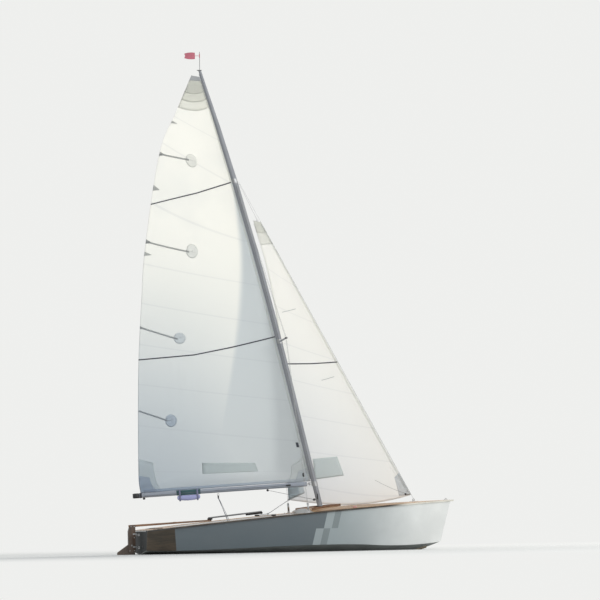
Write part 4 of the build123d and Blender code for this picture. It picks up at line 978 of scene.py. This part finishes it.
def dressMast(gear):
    fitted(makeGroove(gear["groove"]))
    heights = np.linspace(gear["halyard"]["low"], gear["halyard"]["high"], 60)
    for sideName, side in bothSides:
        path = mastSide(heights, side)
        fitted(addTube(f"halyard.{sideName}", path, gear["halyard"]["radius"], "line", sides=8))
        place = mastSide(gear["cleat"]["z"], side, gear["cleat"]["out"])
        fitted(addLump(f"halyardCleat.{sideName}", place, boatAxes, gear["cleat"]["half"], "dark", 0.5))
    collar, sheave = gear["collar"], gear["sheave"]
    place = (collar["x"], 0, deckMiddle(collar["x"]) + collar["up"])
    fitted(addRing("mastCollar", place, (0, 0, 1), collar["radii"], collar["wire"], "rubber", sides=48))
    axle, rim, waist, wide = (sheave[key] for key in ("axle", "rim", "waist", "wide"))
    place = (mastMiddle(sheave["z"]) - sheave["back"], -wide / 2, sheave["z"] + sheave["up"])
    profile = ((axle, 0), (rim, 0), (waist, wide / 2), (rim, wide), (axle, wide))
    fitted(addTurned("mastheadSheave", place, (0, 1, 0), profile, "dark"))


dressMast(mastGear)

# Shrouds and trapeze: plates at the deck, wires beside the shrouds with a handle and ring, spreader caps
shroudGear = {
    "x": 0.045, "inset": 0.062, "up": 0.03, "spreaderZ": 2.99, "tipZ": 3.03, "tipOut": 0.461,
    "plate": 0.11, "plateHalf": 0.008, "plateGap": 0.006, "plateFlat": 0.3,
    "wire": 0.0016, "wireIn": 0.022, "wireBack": 0.004, "wireFrom": 0.12, "houndZ": 5.12, "houndOut": 0.004,
    "handleAt": 0.36, "handle": 0.06, "handleRadii": (0.008, 0.012, 0.013, 0.013, 0.012, 0.008),
    "ringUnder": 0.035, "ring": (0.022, 0.017), "ringWire": 0.003,
    "cap": (0.02, 0.012, 0.013), "capIn": 0.008,
}


def dressShroud(gear, sideName, side):
    low = railPoint(gear["x"], side, gear["inset"], gear["up"])
    tip = np.array([mastMiddle(gear["spreaderZ"]), side * gear["tipOut"], gear["tipZ"]])
    way = (tip - low) / np.linalg.norm(tip - low)
    for n, offset in enumerate((-gear["plateGap"], gear["plateGap"])):
        start = low + [offset, 0, 0]
        plate = line(start, start + way * gear["plate"])
        half, flat = gear["plateHalf"], gear["plateFlat"]
        fitted(addTube(f"shroudPlate.{sideName}{n}", plate, half, "steel", flat=flat))
    inner = np.array([-gear["wireBack"], -side * gear["wireIn"], 0.0])
    foot, guide = low + way * gear["wireFrom"] + inner, tip + inner
    hound = mastSide(gear["houndZ"], side, gear["houndOut"])
    wire = np.vstack([line(foot, guide, 30), line(guide, hound, 30)[1:]])
    fitted(addTube(f"trapezeWire.{sideName}", wire, gear["wire"], "steel", sides=8))
    grip = foot + way * gear["handleAt"]
    handle = line(grip, grip + way * gear["handle"], 6)
    fitted(addTube(f"trapezeHandle.{sideName}", handle, gear["handleRadii"], "rubber"))
    below = grip - way * gear["ringUnder"]
    fitted(addRing(f"trapezeRing.{sideName}", below, (1, 0, 0), gear["ring"], gear["ringWire"], "steel"))
    end = tip - [0, side * gear["capIn"], 0]
    fitted(addLump(f"spreaderCap.{sideName}", end, boatAxes, gear["cap"], "dark", 0.6))


for sideName, side in bothSides:
    dressShroud(shroudGear, sideName, side)

# Boom: bands round it, clew block and ring, and outhaul. A place is a length along the boom, then across and
# up. A band has its start, its end, how far it stands off the boom, how far it hangs below and its material
boomLoops = {
    "boomSleeve": (1.555, 1.895, 0.0015, 0.0, "sleeve"),
    "pouchStrap0": (1.588, 1.612, 0.0075, 0.078, "strap"),
    "pouchStrap1": (1.838, 1.862, 0.0075, 0.078, "strap"),
    "boomEnd": (2.425, 2.5, 0.0012, 0.0, "dark"),
    "clewStrap": (2.391, 2.419, 0.003, 0.0, "webbing"),
}
boomGear = {
    "half": (0.0255, 0.0335), "roundness": 0.45, "cloth": 0.0016,
    "clewBlock": (2.36, 0, -0.047), "clewBlockHalf": (0.018, 0.008, 0.014),
    "clewRing": (2.39, 0, 0.045), "clewRadii": (0.013, 0.011), "clewWire": 0.0025,
    "outhaulFrom": (0.30, -0.0285, 0), "outhaulTo": (2.36, -0.0285, -0.01), "outhaul": 0.0022,
    "cleat": (0.30, -0.032, 0), "cleatHalf": (0.035, 0.007, 0.012),
}
boomAxes = (boomWay, boomSide, boomUp)


def boomLoop(name, start, end, grow, low, material):
    # A band round the boom: its rounded-square outline, stretched downwards by low, carried from start to end
    turn = np.linspace(0, 2 * pi, 40, endpoint=False)
    wide, tall = (half + grow for half in boomGear["half"])
    side = wide * squaredOff(np.cos(turn), boomGear["roundness"])
    up = (tall + low / 2) * squaredOff(np.sin(turn), boomGear["roundness"]) - low / 2
    path = onBoom((start + end) / 2) + boomSide * side[:, None] + boomUp * up[:, None]
    fitted(addBand(name, path, boomWay, end - start, material, boomGear["cloth"], closed=True), "boom_body")


def dressBoom(gear):
    for name, band in boomLoops.items():
        boomLoop(name, *band)
    block = addLump("clewBlock", onBoom(*gear["clewBlock"]), boomAxes, gear["clewBlockHalf"], "dark", 0.7)
    fitted(block, "boom_body")
    place = onBoom(*gear["clewRing"])
    ring = addRing("clewRing", place, boomSide, gear["clewRadii"], gear["clewWire"], "steel")
    fitted(ring, "boom_body")
    path = line(onBoom(*gear["outhaulFrom"]), onBoom(*gear["outhaulTo"]), 12)
    fitted(addTube("outhaul", path, gear["outhaul"], "line", sides=8), "boom_body")
    cleat = addLump("outhaulCleat", onBoom(*gear["cleat"]), boomAxes, gear["cleatHalf"], "dark", 0.5)
    fitted(cleat, "boom_body")


dressBoom(boomGear)

# Mainsheet: straight falls between the hull and the block that hangs from the boom
sheetGear = {"at": 1.306, "drop": 0.096, "low": (-0.93, 0.0, 0.335), "still": 0.15, "radius": 0.0034,
             "sheave": 0.022, "cheekGap": 0.009, "shackleUp": 0.034, "shackle": 0.014, "shackleWire": 0.0026,
             "lowUp": 0.012, "falls": ((-0.02, -0.018, 0.0), (0.02, 0.018, 0.0), (0.0, 0.016, 0.008))}


def makeBlock(name, centre, radius, thick, axis):
    # A sheave between two flat cheeks
    axis = crosswise(axis)[0]
    hole, plate = 0.003, 0.0012
    cheek = ((hole, -plate), (radius, -plate), (radius, plate), (hole, plate))
    for n, side in enumerate((-1, 1)):
        fitted(addTurned(f"{name}.cheek{n}", centre + axis * side * thick, axis, cheek, "dark"), "boom_body")
    rim, waist, half = radius * 0.85, radius * 0.65, thick * 0.8
    groove = ((hole, 0), (rim, 0), (waist, half), (rim, 2 * half), (hole, 2 * half))
    fitted(addTurned(f"{name}.sheave", centre - axis * half, axis, groove, "rubber"), "boom_body")


def makeMainsheet(gear):
    top, low = onBoom(gear["at"], 0, -gear["drop"]), np.array(gear["low"])
    makeBlock("sheetBlock", top, gear["sheave"], gear["cheekGap"], boomWay)
    place, radii = top + boomUp * gear["shackleUp"], (gear["shackle"], gear["shackle"])
    shackle = addRing("sheetShackle", place, boomSide, radii, gear["shackleWire"], "steel")
    fitted(shackle, "boom_body")
    for n, (lowX, high, out) in enumerate(gear["falls"]):
        path = line(low + [lowX, out, gear["lowUp"]], top + boomSide * high + boomWay * out, 40)
        item = addTube(f"mainsheet{n}", path, gear["radius"], "rope")
        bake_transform(item)


makeMainsheet(sheetGear)

# Kicker: the tackle from the mast's foot that holds the boom down
kickerGear = {"at": 0.60, "under": 0.05, "z": 0.735, "back": 0.062, "apart": 0.007, "line": 0.0025,
              "topBlock": (0.016, 0.010, 0.016), "lowBlock": (0.020, 0.010, 0.016)}


def makeKicker(gear):
    top = onBoom(gear["at"], 0, -gear["under"])
    low = np.array([mastMiddle(gear["z"]) - gear["back"], 0.0, gear["z"]])
    for n, side in enumerate((-gear["apart"], gear["apart"])):
        path = line(low + [0, side, 0], top + boomSide * side, 24)
        item = addTube(f"kickerLine{n}", path, gear["line"], "line", sides=8)
        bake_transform(item)
    fitted(addLump("kickerBlockTop", top, boomAxes, gear["topBlock"], "dark", 0.7), "boom_body")
    fitted(addLump("kickerBlockLow", low, boatAxes, gear["lowBlock"], "dark", 0.7))


makeKicker(kickerGear)
print("spars dressed")

# Jib: the sheet from its clew through the fairlead to a cleat, shackles at head and tack, and the halyard
jibGear = {
    "clew": (0.004, 0.449, 0.737), "leadX": -0.28, "leadIn": 0.195, "leadUp": 0.019, "sheet": 0.0038,
    "cleatX": -0.44, "cleatUp": 0.012, "cleat": (0.035, 0.014, 0.012), "cleatMouth": (0.03, 0, 0.006),
    "headUp": 0.012, "head": (0.016, 0.008), "headWire": 0.0025, "halyardUp": 0.026, "halyardZ": 5.24,
    "halyardAhead": 0.048, "halyard": 0.002, "tack": (1.722, 0.0, 0.712), "tackRing": (0.013, 0.010),
    "tackEye": (0.035, 0.008), "wire": 0.003, "clewRing": (0.012, 0.012),
}
eyeProfile = ((0.006, -0.003), (0.015, -0.003), (0.016, 0.0), (0.015, 0.003), (0.006, 0.003))


def dressJib(gear):
    for sideName, side in bothSides:
        lead = railPoint(gear["leadX"], side, gear["leadIn"], gear["leadUp"])
        cleat = np.array([gear["cleatX"], lead[1], sheerAt(gear["cleatX"]) + gear["cleatUp"]])
        fitted(addLump(f"jibCleat.{sideName}", cleat, boatAxes, gear["cleat"], "dark", 0.5))
        if side > 0:
            run = np.vstack([line(gear["clew"], lead, 20), line(lead, cleat + gear["cleatMouth"], 10)[1:]])
            fitted(addTube("jibSheet", run, gear["sheet"], "rope"))
    head = jibPoint(0.5, 1.0)
    across = (0, 1, 0)
    place = head + [0, 0, gear["headUp"]]
    fitted(addRing("jibHeadShackle", place, across, gear["head"], gear["headWire"], "steel"))
    top = np.array([mastMiddle(gear["halyardZ"]) + gear["halyardAhead"], 0.0, gear["halyardZ"]])
    halyard = line(head + [0, 0, gear["halyardUp"]], top, 12)
    fitted(addTube("jibHalyard", halyard, gear["halyard"], "steel", sides=8))
    fitted(addRing("jibTackShackle", gear["tack"], across, gear["tackRing"], gear["wire"], "steel"))
    fitted(addTurned("jibTackEye", jibPoint(*gear["tackEye"]), (0.12, 1, 0), eyeProfile, "dark", 24))
    fitted(addRing("jibClewRing", gear["clew"], across, gear["clewRing"], gear["wire"], "steel"))


dressJib(jibGear)

# Deck and cockpit: hatches, toe straps, capping on the case, drains and small eyes, one on each side
deckGear = {
    "hatchRadius": 0.075, "aftHatch": (-2.05, 0.27), "aftSlope": (-0.13, 0, 1), "tankHatch": (-0.62, 0.30),
    "tankIn": 0.2445, "case": (-1.075, 0.088), "caseY": 0.0222, "caseZ": 0.219, "caseHalf": (0.0055, 0.004),
    "strap": ((-1.816, 0.17, 0.17), (-1.55, 0.17, 0.135), (-1.28, 0.16, 0.16), (-1.03, 0.15, 0.255)),
    "strapWide": 0.05, "strapThick": 0.003, "drain": (-2.27, 0.24, 0.105),
    "eyeX": 0.74, "eyeIn": 0.035, "eyeUp": 0.017, "eyeHalf": (0.03, 0.012, 0.015),
}
# Hatch: shares of its radius and heights above the deck
hatchProfile = ((0.004, -0.004), (1.0, -0.004), (1.0, 0.003), (0.90, 0.0065), (0.80, 0.0065), (0.76, 0.004),
                (0.30, 0.004), (0.26, 0.009), (0.02, 0.0095))
drainProfile = ((0.003, -0.002), (0.026, -0.002), (0.026, 0.004), (0.018, 0.008), (0.003, 0.008))


def dressDeck(gear, sideName, side):
    hatch = [(share * gear["hatchRadius"], height) for share, height in hatchProfile]
    x, y = gear["aftHatch"]
    fitted(addTurned(f"aftHatch.{sideName}", (x, side * y, sheerAt(x)), gear["aftSlope"], hatch, "dark", 40))
    x, z = gear["tankHatch"]
    place, outward = (x, side * (halfAt(x, z) - gear["tankIn"]), z), (0, -side, hullLines["flare"])
    fitted(addTurned(f"tankHatch.{sideName}", place, outward, hatch, "dark", 40))
    strap = splineThrough([(x, side * y, z) for x, y, z in gear["strap"]], 40)
    wide, thick = gear["strapWide"], gear["strapThick"]
    fitted(addBand(f"toeStrap.{sideName}", strap, (0, 1, 0), wide, "webbing", thick))
    aft, fore = gear["case"]
    place = ((aft + fore) / 2, side * gear["caseY"], gear["caseZ"])
    half = ((fore - aft) / 2, *gear["caseHalf"])
    fitted(addLump(f"caseCap.{sideName}", place, boatAxes, half, "deck", 0.15))
    x, y, z = gear["drain"]
    fitted(addTurned(f"drain.{sideName}", (x, side * y, z), (-1, 0, 0), drainProfile, "dark"))
    place = railPoint(gear["eyeX"], side, gear["eyeIn"], gear["eyeUp"])
    fitted(addLump(f"deckEye.{sideName}", place, boatAxes, gear["eyeHalf"], "rosy", 0.6))


for sideName, side in bothSides:
    dressDeck(deckGear, sideName, side)

# Bow plate with its eye, and the pale strip along the transom's top
endGear = {"plateX": 2.215, "plateUp": 0.004, "plate": (0.045, 0.012, 0.004), "eyeX": 2.20, "eyeUp": 0.012,
           "eye": (0.013, 0.013), "eyeWire": 0.0035, "strip": (-2.2725, 0.0, 0.331),
           "stripHalf": (0.0025, 0.50, 0.007)}


def dressEnds(gear):
    place = (gear["plateX"], 0.0, sheerAt(gear["plateX"]) + gear["plateUp"])
    fitted(addLump("bowPlate", place, boatAxes, gear["plate"], "steel", 0.3))
    place = (gear["eyeX"], 0.0, sheerAt(gear["eyeX"]) + gear["eyeUp"])
    fitted(addRing("bowEye", place, (0, 1, 0), gear["eye"], gear["eyeWire"], "steel"))
    fitted(addLump("transomStrip", gear["strip"], boatAxes, gear["stripHalf"], "pale", 0.2))


dressEnds(endGear)

# Rudder and tiller: bolts through the cheeks, a cleat on the tiller, and the extension's joint and grip
helmGear = {"bolts": ((-2.345, 0.395), (-2.39, 0.395), (-2.345, 0.24), (-2.345, 0.055), (-2.41, 0.055)),
            "boltOut": 0.028, "cleat": (-1.75, 0.0, 0.445), "cleatHalf": (0.03, 0.009, 0.009),
            "swivel": (-1.24861, 0.0, 0.48509), "way": (0.70442, -0.70442, 0.08716)}
boltProfile = ((0.001, -0.002), (0.008, -0.002), (0.0075, 0.0025), (0.004, 0.004), (0.001, 0.0042))
ridges = [(0.0118 + 0.0035 * abs(np.sin(n * pi / 2 + 0.4)), -0.03 + 0.006 * n) for n in range(13)]
jointProfile = [(0.0112, -0.031)] + ridges + [(0.0112, 0.043)]
gripProfile = ((0.0112, 0.62), (0.0135, 0.622), (0.0140, 0.64), (0.0140, 0.85), (0.0138, 0.862),
               (0.018, 0.868), (0.0185, 0.885), (0.014, 0.893), (0.002, 0.895))


def dressHelm(gear):
    for sideName, side in reversed(bothSides):
        for n, (x, z) in enumerate(gear["bolts"]):
            place = (x, side * gear["boltOut"], z)
            bolt = addTurned(f"cheekBolt{n}.{sideName}", place, (0, side, 0), boltProfile, "steel", 16)
            fitted(bolt, "steering_body")
    fitted(addLump("uphaulCleat", gear["cleat"], boatAxes, gear["cleatHalf"], "dark", 0.5), "steering_body")
    fitted(addTurned("extensionJoint", gear["swivel"], gear["way"], jointProfile, "rubber"), "extension_body")
    fitted(addTurned("extensionGrip", gear["swivel"], gear["way"], gripProfile, "rubber"), "extension_body")


dressHelm(helmGear)
print("deck and helm dressed")

# Floor at the waterline, soft pale studio
studio = {"tone": (0.86, 0.865, 0.85), "floor": (0.55, 0.56, 0.55), "reach": 200.0, "fade": (2.5, 14.0),
          "world": 0.82, "sky": (0.95, 0.97, 1.0)}
lamps = {
    "keyBehind": {"place": (12.0, 14.0, 14.0), "target": (0.0, 0.0, 3.0), "size": 9.0, "power": 3000.0,
                  "tone": (1.0, 0.97, 0.92)},
    "fillFront": {"place": (6.0, -16.0, 8.0), "target": (0.0, 0.0, 2.0), "size": 10.0, "power": 1100.0,
                  "tone": (1.0, 1.0, 1.0)},
}


def makeFloor(look):
    # A plain sheet at the waterline; far out it takes the background's own tone, so that no edge shows
    r = look["reach"]
    points = np.array([[-r, -r, 0], [r, -r, 0], [r, r, 0], [-r, r, 0]], float)
    material, tree, shader = newMaterial("floorPaint", Roughness=0.85)
    shader.inputs["Base Color"].default_value = rgb(*look["floor"])
    length = addNode(tree, "ShaderNodeVectorMath", {0: objectPoint(tree)}, operation="LENGTH")
    distance = length.outputs["Value"]
    seen = addNode(tree, "ShaderNodeLightPath").outputs["Is Camera Ray"]
    glow = addNode(tree, "ShaderNodeEmission", {"Color": rgb(*look["tone"]), "Strength": 1.0})
    surfaceBy(tree, times(tree, ramp(tree, distance, *look["fade"]), seen), shader, glow)
    materials["floor"] = material
    addMesh("floor", points, [[0, 1, 2, 3]], "floor")


def makeWorld(look):
    # The camera, reflections and glass see the background's tone; everything else gets the sky's light
    world = bpy.data.worlds.new("studio")
    bpy.context.scene.world = world
    world.use_nodes = True
    tree = world.node_tree
    tree.nodes.clear()
    path = addNode(tree, "ShaderNodeLightPath").outputs
    seen = mathNode(tree, "MAXIMUM", path["Is Camera Ray"], path["Is Glossy Ray"])
    seen = mathNode(tree, "MAXIMUM", seen, path["Is Transmission Ray"])
    light = addNode(tree, "ShaderNodeBackground", {"Color": rgb(*look["sky"]), "Strength": look["world"]})
    shown = addNode(tree, "ShaderNodeBackground", {"Color": rgb(*look["tone"]), "Strength": 1.0})
    mixed = addNode(tree, "ShaderNodeMixShader", {0: seen, 1: light.outputs[0], 2: shown.outputs[0]})
    out = addNode(tree, "ShaderNodeOutputWorld")
    tree.links.new(mixed.outputs[0], out.inputs["Surface"])


def makeLamp(name, lamp):
    data = bpy.data.lights.new(name, "AREA")
    data.shape, data.size, data.energy, data.color = "SQUARE", lamp["size"], lamp["power"], lamp["tone"]
    item = bpy.data.objects.new(name, data)
    bpy.context.scene.collection.objects.link(item)
    item.location = lamp["place"]
    item.rotation_euler = (Vector(lamp["target"]) - Vector(lamp["place"])).to_track_quat("-Z", "Y").to_euler()


makeFloor(studio)
makeWorld(studio)
for name, lamp in lamps.items():
    makeLamp(name, lamp)
print("studio made")
